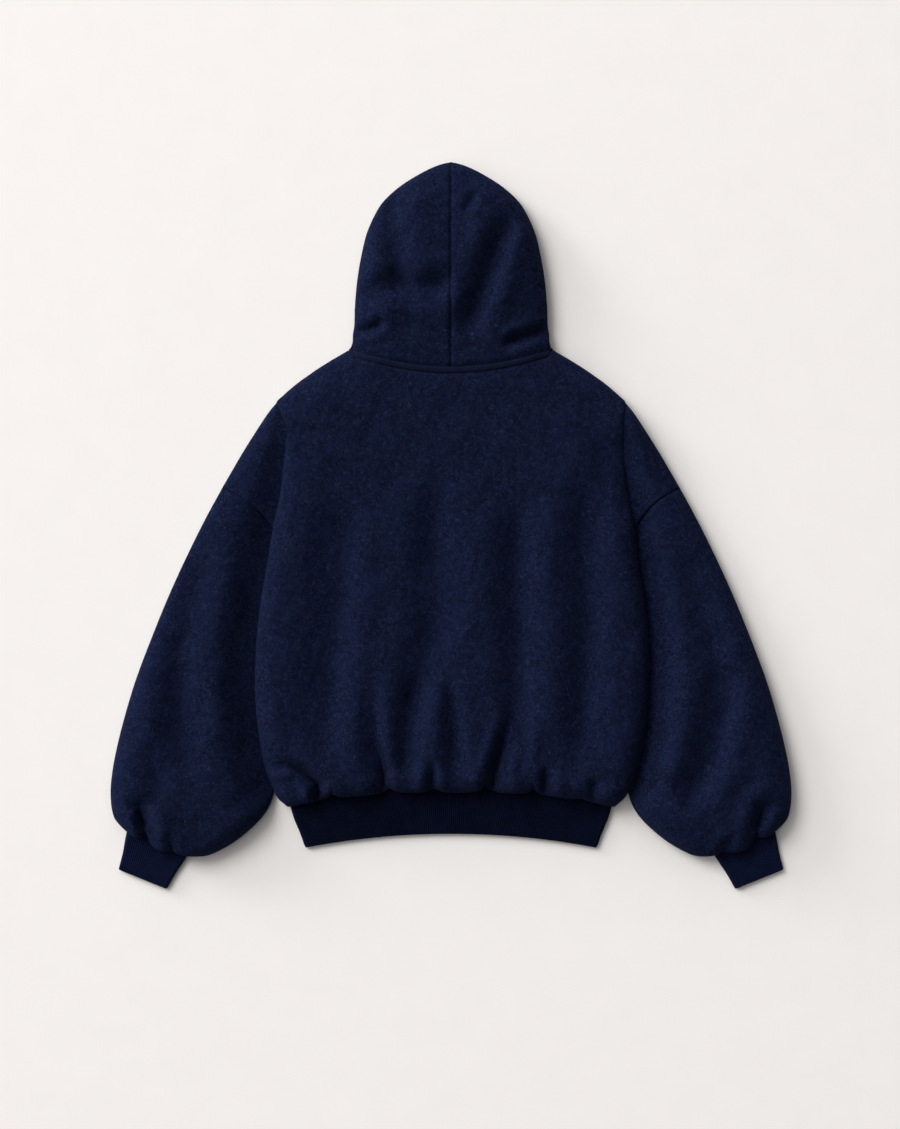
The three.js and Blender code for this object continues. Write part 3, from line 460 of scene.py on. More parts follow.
def body_edge(y, side):
    return np.where(side < 0, body_of["left"](y), body_of["right"](y)) - MID


def back_neck_y(x):
    return mix(BACK_NECK_Y, NECK_POINT_Y, (x / NECK_HALF) ** 2)


def front_neck_y(x):
    return mix(FRONT_NECK_Y, NECK_POINT_Y, 1 - np.sqrt(1 - clamp(np.abs(x) / NECK_HALF) ** 2))


def shoulder_distance(x, y):
    xs, ys = SHOULDER_LINE["x"], SHOULDER_LINE["y"]
    runs = zip(xs, ys, xs[1:], ys[1:])
    return np.minimum.reduce([to_segment(np.abs(x), y, *run)[0] for run in runs])


def body_top(x, y):
    """The body's height before its sides roll down."""
    crown = mix(BODY_CROWN, HEM_CROWN, ease((-y - 120) / 220))
    shoulder = (crown - EDGE_SEAM_Z) * (1 - quarter(shoulder_distance(x, y) / SHOULDER_ROLL))
    return crown - shoulder - fold_depth(BACK_FOLDS, x, y)


def hem_line_y(x):
    return HEM_LINE_Y - HEM_DROP * (np.abs(x) / HEM_HALF) ** 2.6


def lip_y(x):
    return hem_line_y(x) - LIP_PAST_SEAM + pull_at(BACK_FOLDS, x)


def band_top_y(x):
    return BAND_TOP_Y - BAND_TOP_DROP * (x / BAND_TOP_HALF) ** 2


# A row's place at the body's side: from the shoulder's end (0) to the hem's lip (1), and
# round the lip (to 2).
BODY_LENGTH = SHOULDER_END_Y - float(hem_line_y(SHOULDER_HALF)) - LIP_ROLL
UNDERARM_ROW = (SHOULDER_END_Y - UNDERARM_Y) / BODY_LENGTH
SEAM_RISE_ROWS = (1 - UNDERARM_ROW) / 12


def row_side_y(row):
    lip = np.minimum(np.pi / 2, np.maximum(0, row - 1) * LIP_TURN)
    return SHOULDER_END_Y - np.minimum(row, 1) * BODY_LENGTH - LIP_ROLL * np.sin(lip)


def body_columns(cells, roll_cells):
    """Places across the body, as how far across and how far round the roll at each end."""
    roll = np.linspace(0, 1, roll_cells + 1)[1:]
    end = np.ones(roll_cells)
    across = np.concatenate([-end, np.linspace(-1, 1, 2 * cells + 1), end])
    turn = np.concatenate([roll[::-1], np.zeros(2 * cells + 1), roll])
    return across[None, :], turn[None, :]


def top_line_y(x):
    return np.where(np.abs(x) < NECK_HALF, back_neck_y(x), shoulder_y(np.abs(x)))


def front_top_y(x):
    return np.where(np.abs(x) < NECK_HALF, front_neck_y(x), shoulder_y(np.abs(x)))


def back_points(row, across, turn):
    """The back's mid surface, with its last rows rolled down over the band and tucked under."""
    level = np.minimum(row, 1)
    drop = level / UNDERARM_ROW
    side_y = row_side_y(row)
    side = np.where(across < 0, -1, 1)
    half = body_edge(side_y, side)
    body_roll = SIDE_ROLL * mix(0.25, 1, ease(drop))
    roll = np.where(row > 1, mix(SIDE_ROLL, LIP_SIDE_ROLL, ease(row - 1)), body_roll)
    turned = turn * np.pi / 2
    x = across * mix(half - roll, half, np.sin(turned))
    start_y = top_line_y(np.minimum(1, np.abs(x) / half) * SHOULDER_EDGE)
    rest_y = lip_y(x) + LIP_ROLL
    y = mix(start_y, rest_y, level)
    rise = clamp((row - UNDERARM_ROW) / SEAM_RISE_ROWS)
    seam_z = mix(SIDE_SEAM_Z, HEM_SIDE_Z, ease((row - 1) / 0.5))
    side_z = mix(drop_of["valley"](np.minimum(drop, 1)), seam_z, rise)
    own = body_top(x, y)
    rest = body_top(side * (half - roll), y)
    flat_z = np.where(turn == 0, own, rest)
    fade = ease(level / 0.06) * (1 - ease((turn - 0.3) / 0.6)) * (1 - ease((row - 1.2) / 0.5))
    from_tape = start_y - y - TAPE_WIDTH - GROOVE_AWAY
    groove = TAPE_GROOVE * np.exp(-((from_tape / GROOVE_SOFT) ** 2)) * (np.abs(x) < NECK_HALF - 6)
    flat_z = flat_z + softness(x, y, BACK_SEED) * fade - groove
    z = mix(flat_z, np.minimum(side_z, flat_z), 1 - np.cos(turned))
    lip = np.maximum(0, row - 1) * LIP_TURN
    under = clamp((z - side_z) / np.maximum(0.1, flat_z - side_z))
    lip_z = mix(side_z, LIP_Z, under)
    end_z = mix(HEM_SIDE_Z, HEM_SEAM_Z, under)
    back = np.maximum(0, np.cos(lip) / math.cos(LIP_TURN))
    rolling = lip <= np.pi / 2
    y = np.where(rolling, y - LIP_ROLL * np.sin(lip), y + LIP_TUCK * back - LIP_ROLL)
    z = np.where(rolling, mix(z, lip_z, 1 - np.cos(lip)), mix(lip_z, end_z, back))
    return stack(x, y, z)


def drop_plan(row, share, side):
    """The drop over the shoulder in plan: share 0 is the valley beside the body."""
    drop = row / UNDERARM_ROW
    side_y = row_side_y(row)
    inner_x, inner_y = body_edge(side_y, side), side_y
    outer_x, outer_y = drop_of["x"](drop) - MID * 0.9, drop_of["y"](drop) - MID * 0.4
    bow = 28 * drop * share * (1 - share)
    x = side * (mix(inner_x, outer_x, share) - 0.45 * bow)
    y = mix(inner_y, outer_y, share) + bow
    return x, y, np.hypot(outer_x - inner_x, outer_y - inner_y)


def arm_top(share, width, crown, inner, balloon):
    """Height across an arm's section, from its inner edge to its outer one."""
    from_inner = share * width
    start = ease(0.12) ** 1.25
    reach = np.maximum(1, np.minimum(SLEEVE_INNER_ROLL, 0.6 * width))
    slope = (ease(0.12 + 0.88 * from_inner / reach) ** 1.25 - start) / (1 - start)
    rolled = quarter(from_inner / np.maximum(1, np.minimum(BALLOON_ROLL, 0.45 * width)))
    rise = mix(inner, crown, mix(slope, rolled, balloon))
    outer = np.maximum(1, np.minimum(SLEEVE_OUTER_ROLL, 0.5 * width))
    return mix(EDGE_SEAM_Z, rise, quarter((width - from_inner) / outer))


def arm_under(share, width, inner, outer):
    roll = np.maximum(1, np.minimum(UNDER_ROLL, 0.45 * width))
    outer_rise = (outer - MID) * (1 - quarter((1 - share) * width / roll))
    inner_rise = (inner - MID) * (1 - quarter(share * width / roll))
    return MID + outer_rise + inner_rise


def seam_dip(away):
    """How far the cloth dips beside a sewn seam."""
    return SEAM_DIP * np.exp(-((away / SEAM_SOFT) ** 2))


def normals_of(points, faces):
    corners = points[faces]
    face_normals = np.cross(corners[:, 1] - corners[:, 0], corners[:, 2] - corners[:, 0])
    normals = np.zeros_like(points)
    for k in range(3):
        np.add.at(normals, faces[:, k], face_normals)
    return normals / np.maximum(1e-12, np.linalg.norm(normals, axis=1))[:, None]


class Cloth:
    """Grids of points on one cloth's mid surface. Points that coincide are joined."""

    def __init__(self):
        self.points = []
        self.faces = []
        self.aimed = []
        self.count = 0

    def grid(self, points, flipped=False):
        rows, columns = points.shape[:2]
        ids = self.count + np.arange(rows * columns).reshape(rows, columns)
        a, b, c, d = ids[1:, :-1], ids[1:, 1:], ids[:-1, 1:], ids[:-1, :-1]
        corners = (d, c, b, a) if flipped else (a, b, c, d)
        a, b, c, d = (corner.ravel() for corner in corners)
        self.faces += [np.stack([a, b, c], 1), np.stack([a, c, d], 1)]
        self.points.append(points.reshape(-1, 3))
        self.count += rows * columns

    def aim(self, points, directions):
        """Sets which way the cloth faces at points of a seam, so that both rims meet squarely."""
        points = np.atleast_2d(points)
        self.aimed.append((points, np.broadcast_to(directions, points.shape)))

    def aim_rim(self, rim, facing):
        """Aims a rim square to the seam: up or down, across the rim's own run."""
        ends = np.concatenate([rim[:1], rim, rim[-1:]])
        run = ends[2:] - ends[:-2]
        flat = run[:, 0] ** 2 + run[:, 1] ** 2
        directions = np.stack([-run[:, 2] * run[:, 0], -run[:, 2] * run[:, 1], flat], 1) * facing
        self.aim(rim[flat > 0], directions[flat > 0])

    def joined(self):
        """The points, the faces and the facing of each point."""
        own = np.concatenate(self.points)
        aimed = np.concatenate([points for points, _ in self.aimed]) if self.aimed else own[:0]
        every = np.concatenate([own, aimed])
        microns = np.round(every * 1000).astype(np.int64)
        _, first, inverse = np.unique(microns, axis=0, return_index=True, return_inverse=True)
        inverse = inverse.reshape(-1)
        faces = inverse[np.concatenate(self.faces)]
        a, b, c = faces.T
        faces = faces[(a != b) & (b != c) & (c != a)]
        points = every[first]
        normals = normals_of(points, faces)
        if self.aimed:
            directions = np.concatenate([d for _, d in self.aimed]).astype(float)
            normals[inverse[len(own) :]] = directions / np.linalg.norm(directions, axis=1)[:, None]
        return points, faces, normals

    def wall(self, thickness):
        """Moves the surface out and in by half the cloth's thickness and closes its edges."""
        points, faces, normals = self.joined()
        count = len(points)
        edges = np.concatenate([faces[:, [0, 1]], faces[:, [1, 2]], faces[:, [2, 0]]])
        there, back = edges[:, 0] * count + edges[:, 1], edges[:, 1] * count + edges[:, 0]
        start, end = edges[~np.isin(there, back)].T
        upper = np.stack([end, start, start + count], 1)
        lower = np.stack([end, start + count, end + count], 1)
        both = np.concatenate([points + normals * thickness / 2, points - normals * thickness / 2])
        return both, np.concatenate([faces, faces[:, ::-1] + count, upper, lower])


def make_piece(name, points, faces, material, slot, replaces=()):
    mesh = bpy.data.meshes.new(name)
    mesh.from_pydata((points * METRES).tolist(), [], faces.tolist())
    mesh.validate()
    mesh.shade_smooth()
    mesh.set_sharp_from_angle(angle=math.radians(60))
    mesh.materials.append(material)
    piece = bpy.data.objects.new(name, mesh)
    bpy.context.scene.collection.objects.link(piece)
    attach(piece, "root")
    if replaces:
        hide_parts(*replaces)
    return piece


def drop_strip(rows, edge, cells, side, height):
    """The rows of the drop over one shoulder, joined to the body's own edge points."""
    share = spread(cells)[None, :]
    x, y, width = drop_plan(rows[:, None], share, side)
    points = stack(x, y, height(share, width, rows[:, None] / UNDERARM_ROW))
    points[:, 0] = edge
    points[0, :] = edge[0]
    return points


def body_rows():
    drop = UNDERARM_ROW * spread(DROP_ROWS_FINE)
    lower = np.linspace(UNDERARM_ROW, 1, LOWER_ROWS + 1)[1:]
    return drop, lower


def aim_body(cloth, rows, first_lower, facing):
    """Aims the shoulder and side rims outwards, so that back and front meet edge to edge."""
    top = rows[0]
    x = top[:, 0]
    cloth.aim_rim(top[np.abs(x) < NECK_HALF - 0.5], facing)
    shoulder = top[np.abs(x) >= NECK_HALF - 0.5]
    cloth.aim(shoulder, stack(np.sign(shoulder[:, 0]) * SHOULDER_OUT[0], SHOULDER_OUT[1], 0))
    for column, side in ((0, -1), (-1, 1)):
        cloth.aim(rows[first_lower:, column], (side, 0, 0))


def aim_drop(cloth, strip, side, facing):
    cloth.aim_rim(strip[-1, 1:], facing)
    cloth.aim(strip[1:, -1], (side * ARMHOLE_OUT[0], ARMHOLE_OUT[1], 0))


def make_back(material):
    cloth = Cloth()
    drop, lower = body_rows()
    rows = np.concatenate([drop, lower, np.linspace(1, 2, LIP_ROWS + 1)[1:]])
    points = back_points(rows[:, None], *body_columns(BODY_CELLS // 2, ROLL_CELLS))
    cloth.grid(points)

    def height(share, width, level):
        rise = arm_top(share, width, drop_of["crown"](level), drop_of["valley"](level), 0)
        return rise - seam_dip((1 - level) * UNDERARM_ROW * BODY_LENGTH) * ease(share * 6)

    for side, column in ((-1, 0), (1, -1)):
        strip = drop_strip(drop, points[: len(drop), column], DROP_CELLS, side, height)
        cloth.grid(strip, side < 0)
        aim_drop(cloth, strip, side, 1)
    aim_body(cloth, points, len(drop), 1)
    make_piece("cloth_back", *cloth.wall(FLEECE), material, "fleece", ["back"])
    return points


def front_points(row, across, turn):
    """The front's mid surface: flat below, lifted at its sides and turned up to the seams."""
    at_band = row > 1
    level = np.minimum(row, 1)
    drop = level / UNDERARM_ROW
    side_y = np.where(at_band, band_top_y(BAND_TOP_HALF), row_side_y(level))
    side = np.where(across < 0, -1, 1)
    rise = clamp((level - UNDERARM_ROW) / SEAM_RISE_ROWS)
    half = body_edge(side_y, side) - SEAM_GAP * (1 - rise)
    inset_share = np.interp(turn, [0, 0.25, 0.5, 0.75, 1], [1, 0.6, 0.3, 0.12, 0])
    inset = mix(SIDE_ROLL * 0.25, 40, ease(drop * 3)) * inset_share
    x = across * (half - inset)
    start_y = front_top_y(np.minimum(1, np.abs(x) / half) * SHOULDER_EDGE)
    rest_y = hem_line_y(x) - LIP_PAST_SEAM + LIP_ROLL
    y = np.where(at_band, band_top_y(x) + SEAM_GAP + SEAM_EXTRA, mix(start_y, rest_y, level))
    below = np.maximum(MID, drop_of["below"](np.minimum(drop, 1)))
    upper_z = mix(MID, below, ease(turn))
    lift = np.where(at_band, 0, SIDE_LIFT * (1 - ease((inset - 12) / 28)))
    edge = np.where(at_band, HEM_SIDE_Z, SIDE_SEAM_Z - SEAM_GAP)
    lower_z = np.where(turn > 0, mix(edge, MID + lift, quarter(inset / SIDE_TUCK_UP)), MID)
    z = mix(upper_z, lower_z, rise)
    shoulder = 1 - quarter(shoulder_distance(x, y) / UNDER_ROLL)
    return stack(x, y, np.maximum(z, mix(MID, EDGE_SEAM_Z - SEAM_GAP, shoulder)))


def make_front(material):
    cloth = Cloth()
    drop, lower = body_rows()
    drop, lower = drop[::2], lower[1::2]
    columns = body_columns(FRONT_CELLS // 2, ROLL_CELLS // 2)
    points = front_points(np.concatenate([drop, lower])[:, None], *columns)
    hem = front_points(np.array([[1.4]]), *columns)
    steps = np.linspace(0, 1, 9)[1:, None, None]
    points = np.concatenate([points, mix(points[-1:], hem, steps)])
    cloth.grid(points, True)

    def height(share, width, level):
        inner = np.maximum(MID, drop_of["below"](level))
        return arm_under(share, width, inner, EDGE_SEAM_Z - SEAM_GAP)

    for side, column in ((-1, 0), (1, -1)):
        strip = drop_strip(drop, points[: len(drop), column], UNDER_CELLS, side, height)
        cloth.grid(strip, side > 0)
        aim_drop(cloth, strip, side, -1)
    aim_body(cloth, points, len(drop), -1)
    cloth.aim_rim(points[-1, 1:-1], -1)
    make_piece("cloth_front", *cloth.wall(FLEECE), material, "fleece", ["front"])


def sleeve_plan(row, share, folds, side, on_top):
    """Where a row's points lie in plan, on the sleeve's own side, and the row's width."""
    ox, oy, ix, iy = (sleeve_of[name](row) for name in ("ox", "oy", "ix", "iy"))
    chord = np.hypot(ox - ix, oy - iy)
    cx, cy = (ox - ix) / chord, (oy - iy) / chord
    width = chord - 2 * MID
    along = MID + share * width
    belly = 1 - (2 * share - 1) ** 2
    held = np.where(row > 0.95, pull_at(folds, ix + cx * along), 0) * ease((row - 0.94) / 0.03)
    amount = sleeve_of["over"](row) * np.where(on_top, 1, row < 0.9)
    over = amount * belly * (1 - 0.09 * held)
    return ix + cx * along + cy * over, iy + cy * along - cx * over, width


def sleeve_points(row, share, folds, side, on_top):
    x, y, width = sleeve_plan(row, share, folds, side, on_top)
    start_x, start_y, _ = sleeve_plan(np.zeros((1, 1)), share, folds, side, on_top)
    seam_x, seam_y, _ = drop_plan(np.array([[UNDERARM_ROW]]), share, side)
    closing = ease((share - (0.7 if on_top else 0.4)) / 0.25)
    apart = mix(SEAM_GAP + 0.15, SEAM_CLOSED, closing) + 1.1 * (1 - share) ** 8
    join = 1 - ease(row / 0.07)
    x = x + (np.abs(seam_x) + SLEEVE_AWAY[0] * apart - start_x) * join
    y = y + (seam_y - SLEEVE_AWAY[1] * apart - start_y) * join
    if not on_top:
        return stack(side * x, y, arm_under(share, width, sleeve_of["inner"](row), EDGE_SEAM_Z))
    crown, inner = sleeve_of["crown"](row), sleeve_of["inner"](row)
    z = arm_top(share, width, crown, inner, ease((row - 0.82) / 0.08))
    free = np.sin(np.pi * share) ** 0.5
    fold = fold_depth(folds, x, y) * free * mix(1, 0.4, ease((row - 0.945) / 0.03))
    soft = softness(side * x, y, SLEEVE_SEED) * free
    soft = soft * ease(row / 0.04) * (1 - ease((row - 0.93) / 0.05))
    dip = seam_dip(row * SLEEVE_LENGTH) * ease(share * 6) * ease((1 - share) * 12)
    return stack(side * x, y, z - fold + soft - dip)


def sleeve_end(cells, half, side, on_top):
    """The ring where the sleeve meets the cuff. Its ends stand off by the cloth's thickness."""
    share = spread(cells)[None, :]
    up = SEAM_GAP + 0.1 + 1.5 * (2 * share - 1) ** 8
    x = CUFF_TOP[0] - CUFF_AXIS[0] * up - CUFF_AXIS[1] * half * (2 * share - 1)
    y = CUFF_TOP[1] - CUFF_AXIS[1] * up + CUFF_AXIS[0] * half * (2 * share - 1)
    middle = SLEEVE_END_Z / 2
    rise = quarter((1 - np.abs(2 * share - 1)) * half / (middle - MID))
    level = mix(middle, SLEEVE_END_Z - MID if on_top else MID, rise)
    return stack(side * x, y, level)


def make_sleeve(name, folds, side, material):
    cloth = Cloth()
    upper_rows = 0.9 * np.linspace(0, 1, SLEEVE_RINGS - 50) ** 1.25
    rows = np.concatenate([upper_rows, np.linspace(0.9, 1, 51)[1:]])[:, None]
    steps = np.linspace(0, 1, SLEEVE_END_RINGS + 1)[1:, None, None]
    rings = []
    for cells, on_top in ((SLEEVE_CELLS, True), (UNDER_CELLS, False)):
        share = spread(cells)[None, :]
        points = sleeve_points(rows, share, folds, side, on_top)
        end = sleeve_end(cells, float(cuff_of["half"](0)) + 2.2, side, on_top)
        rings.append(np.concatenate([points, mix(points[-1:], end, steps)]))
    top, under = rings
    under[:, 0] = top[:, 0]
    under[:, -1] = top[:, -1]
    cloth.grid(top, side < 0)
    cloth.grid(under, side > 0)
    cloth.aim_rim(top[0, 1:-1], 1)
    cloth.aim_rim(under[0, 1:-1], -1)
    cloth.aim(top[0, -1:], (side * ARMHOLE_OUT[0], ARMHOLE_OUT[1], 0))
    make_piece("cloth_" + name, *cloth.wall(FLEECE), material, "fleece", [name])


def rib_section(half, height, inset, ribs, relief):
    """How far across and how high the points of a flattened ring are.

    It is ribbed over the top and round both ends, and plain where it lies below.
    """
    radius = height / 2
    reach = half - radius
    top = np.linspace(0, 1, ribs * CELLS_A_RIB, endpoint=False)
    end = np.linspace(0, 1, 4 * CELLS_A_RIB, endpoint=False)
    base = np.linspace(0, 1, 24, endpoint=False)
    phase = np.concatenate([top * ribs, end * 4, base * 0, end * 4])
    groove = np.exp(-((((phase % 1) - 0.5) / 0.2) ** 2))
    groove[len(top) + len(end) : len(top) + len(end) + len(base)] = 0
    spoke = radius - inset - RIB_DEPTH * groove * relief
    angle = np.concatenate([top * 0, np.pi * end, base * 0 + np.pi, np.pi + np.pi * end])
    centre = np.concatenate([mix(-1, 1, top), end * 0 + 1, mix(1, -1, base), end * 0 - 1]) * reach
    return centre + spoke * np.sin(angle), radius + spoke * np.cos(angle)


def rib_tube(shape_of, ribs, place):
    """A tube of doubled rib, folded round at its free end, as points and faces."""
    alongs = np.linspace(0, 1, RIB_RINGS)
    turns = np.linspace(0, np.pi, 7)[1:-1]
    rings = [(along, 0, 1, 0) for along in alongs]
    for turn in turns:
        inset = RIB_KNIT / 2 * (1 - math.cos(turn))
        rings.append((1, inset, math.cos(turn / 2) ** 2, RIB_KNIT / 2 * math.sin(turn)))
    rings += [(along, RIB_KNIT, 0, 0) for along in alongs[::-1]]
    points = []
    for along, inset, relief, beyond in rings:
        half, height = float(shape_of["half"](along)), float(shape_of["height"](along))
        across, up = rib_section(half, height, inset, ribs, relief)
        points.append(place(across, up, along, beyond))
    points = np.array(points)
    rows, columns = points.shape[:2]
    ids = np.arange(rows * columns).reshape(rows, columns)
    following = np.roll(ids, -1, axis=1)
    looped = np.roll(ids, -1, axis=0)
    a, b = ids.ravel(), following.ravel()
    c, d = np.roll(following, -1, axis=0).ravel(), looped.ravel()
    faces = np.concatenate([np.stack([a, c, b], 1), np.stack([a, d, c], 1)])
    return points.reshape(-1, 3), faces


def make_cuff(name, side, material):
    ribs = round(2 * float(cuff_of["half"](0.8)) / RIB_PITCH)

    def place(across, up, along, beyond):
        run = min(along * CUFF_LENGTH, CUFF_LENGTH - RIB_KNIT / 2 + beyond)
        x = CUFF_TOP[0] + CUFF_AXIS[0] * run - CUFF_AXIS[1] * across
        y = CUFF_TOP[1] + CUFF_AXIS[1] * run + CUFF_AXIS[0] * across
        return stack(side * x, y, up)

    points, faces = rib_tube(cuff_of, ribs, place)
    if side < 0:
        faces = faces[:, ::-1]
    make_piece("rib_" + name, points, faces, material, "rib", [name])


def make_band(material):
    ribs = round(2 * float(band_of["half"](0.5)) / RIB_PITCH)
    free_half = float(band_of["half"](1))

    def place(across, up, along, beyond):
        bottom = BAND_BOTTOM_Y - BAND_BOTTOM_DROP * (across / free_half) ** 2
        free = bottom + RIB_KNIT / 2 - beyond
        y = np.maximum(mix(band_top_y(across), bottom, along), free)
        return stack(across, y, up)

    points, faces = rib_tube(band_of, ribs, place)
    make_piece("rib_hem_band", points, faces, material, "rib", ["hem_band"])


def hood_sizes(row):
    side_y = hood_of["side"](row)
    half = np.where(row <= 0, NECK_HALF, hood_edge(side_y) - MID)
    return side_y, half


def hood_top(row, side):
    """A hood panel from the centre seam to its side."""
    side_y, half = hood_sizes(row)
    crown = hood_of["crown"](row)
    even = np.linspace(0, 1, HOOD_TOP_CELLS + 1)[None, :] ** 1.5
    share = mix(even, np.sin(np.pi * even / 2), ease(row / 0.08))
    x = np.maximum(SEAM_HALF, half * share)
    gap = (SEAM_GAP + SEAM_EXTRA) * (1 - ease(row / 0.02))
    y = mix(hood_of["back"](row), side_y, share**2) + gap * (1 + 2.5 * share**5)
    roll = np.minimum(HOOD_ROLL, 0.75 * half)
    near_neck = 1 - ease(row / 0.1)
    own = crown - (crown - EDGE_SEAM_Z) * (1 - quarter((half - x) / roll))
    held = (1 - near_neck) * (1 - share**12)
    z = mix(own, body_top(x, y), near_neck) - fold_depth(HOOD_FOLDS, side * x, y) * held
    z = z + softness(side * x, y, HOOD_SEED) * held * (1 - ease((row - 0.85) / 0.12))
    z = np.minimum(z, np.where(row > 0.97, crown, 99))
    centre_dip = HOOD_DIP * np.exp(-((x / HOOD_SOFT) ** 2)) * (row < 0.995)
    neck_dip = NECK_DIP * np.exp(-((row * HOOD_RISE / NECK_SOFT) ** 2)) * (1 - share**6)
    return stack(side * x, y, z - centre_dip - neck_dip)


def hood_under(row, side):
    """A hood panel from its side to the face opening."""
    side_y, half = hood_sizes(row)
    opening = np.maximum(SEAM_HALF, np.minimum(hood_of["opening"](row), 0.4 * half))
    share = 1 - np.linspace(0, 1, HOOD_UNDER_CELLS + 1)[None, :]
    x = np.maximum(opening, mix(opening, half, share))
    arc = mix(hood_of["front"](row), side_y, 1 - np.sqrt(1 - clamp(x / half) ** 2))
    rolled = (EDGE_SEAM_Z - MID) * (1 - quarter((half - x) / HOOD_UNDER_ROLL))
    neck = (EDGE_SEAM_Z - MID) * (1 - quarter(shoulder_distance(x, arc) / UNDER_ROLL))
    gap = (SEAM_GAP + SEAM_EXTRA) * (1 - ease(row / 0.02)) * mix(1, 6, ease((share - 0.5) / 0.3))
    return stack(side * x, arc + gap, MID + mix(rolled, neck, 1 - ease(row / 0.03)))


def make_hood_panel(name, side, material):
    cloth = Cloth()
    rows = np.linspace(0, 1, HOOD_RINGS + 1)[:, None]
    rows = rows * mix(1, 0.85 + 0.15 * rows, 0.5)
    top, under = hood_top(rows, side), hood_under(rows, side)
    under[:, 0] = top[:, -1]
    ring = np.concatenate([top, under[:, 1:]], axis=1)
    peak_z = mix(ring[-1, 0, 2], ring[-1, -1, 2], np.linspace(0, 1, ring.shape[1]))
    peak = stack(side * SEAM_HALF, HOOD_EDGE["y"][-1], peak_z)[None]
    steps = np.linspace(0, 1, 4)[1:, None, None]
    ring = np.concatenate([ring, mix(ring[-1:], peak, steps)])
    cloth.grid(ring, side > 0)
    points, _, normals = cloth.joined()
    at_seam = np.abs(points[:, 0]) <= SEAM_HALF + 0.01
    cloth.aim(points[at_seam], normals[at_seam] * (0, 1, 1) + (0, 0, 1e-6))
    cloth.aim_rim(ring[0, 1:HOOD_TOP_CELLS], 1)
    cloth.aim_rim(ring[0, HOOD_TOP_CELLS + 1 : -1], -1)
    cloth.aim(ring[0, HOOD_TOP_CELLS], (side, 0, 0))
    make_piece("cloth_" + name, *cloth.wall(FLEECE), material, "fleece", [name])


def tape_frame(back_rows):
    """Points along the back neck with the directions down the tape and out of the cloth."""
    edge = back_rows[0]
    inside = np.flatnonzero(np.abs(edge[:, 0]) < NECK_HALF - 4)
    start = edge[inside]
    down = back_rows[5][inside] - start
    down /= np.linalg.norm(down, axis=1)[:, None]
    across = edge[inside + 1] - edge[inside - 1]
    out = np.cross(down, across)
    out /= np.linalg.norm(out, axis=1)[:, None]
    return start, down, out


def make_tape(back_rows, material):
    """The tape over the neck seam, a little pillowed between its two rows of stitches."""
    cloth = Cloth()
    start, down, out = tape_frame(back_rows)
    strips = []
    for share in np.linspace(0, 1, 11):
        from_edge = mix(-TAPE_OVER, TAPE_WIDTH + 0.8, share)
        pillow = TAPE_PILLOW * math.sin(math.pi * share) ** 0.6
        lift = MID + SEAM_GAP + TAPE / 2 + pillow - 0.1
        strips.append(start + down * from_edge + out * lift)
    cloth.grid(np.array(strips))
    make_piece("neck_tape_strip", *cloth.wall(TAPE), material, "tape", ["neck_tape"])


def capsule(start, end, up, thick):
    """A short thread lying between two points."""
    along = end - start
    run = along / np.linalg.norm(along)
    side = np.cross(up, run)
    shares = np.linspace(0, 1, 6)
    rings = []
    for share in shares:
        radius = thick * max(0.15, math.sin(math.pi * (0.08 + 0.84 * share))) ** 0.5
        angles = np.linspace(0, 2 * np.pi, THREAD_SIDES, endpoint=False)[:, None]
        rings.append(start + along * share + radius * (np.cos(angles) * side + np.sin(angles) * up))
    points = np.array(rings)
    ids = np.arange(points.shape[0] * THREAD_SIDES).reshape(-1, THREAD_SIDES)
    following = np.roll(ids, -1, axis=1)
    corners = (ids[:-1], following[:-1], following[1:], ids[1:])
    a, b, c, d = (corner.ravel() for corner in corners)
    faces = [np.stack([a, b, c], 1), np.stack([a, c, d], 1)]
    for ring, turn in ((ids[0], -1), (ids[-1], 1)):
        fan = [[ring[0], ring[k], ring[k + 1]][::turn] for k in range(1, THREAD_SIDES - 1)]
        faces.append(np.array(fan))
    return points.reshape(-1, 3), np.concatenate(faces)


def at_run(line, run, place):
    """The point of a line at a length along it."""
    return np.array([np.interp(place, run, line[:, k]) for k in range(3)])


def make_stitches(back_rows, material):
    """Two rows of topstitching along the neck tape."""
    start, down, out = tape_frame(back_rows)
    steps = np.linalg.norm(np.diff(start, axis=0), axis=1)
    run = np.concatenate([[0], np.cumsum(steps)])
    points, faces, count = [], [], 0
    for from_edge in STITCH_LINES:
        line = start + down * from_edge + out * (MID + SEAM_GAP + TAPE + 0.35)
        for place in np.arange(2, run[-1] - STITCH, STITCH_PITCH):
            here, there = at_run(line, run, place), at_run(line, run, place + STITCH)
            own, own_faces = capsule(here, there, at_run(out, run, place), STITCH_THICK / 2)
            points.append(own)
            faces.append(own_faces + count)
            count += len(own)
    make_piece("neck_stitches", np.concatenate(points), np.concatenate(faces), material, "tape")


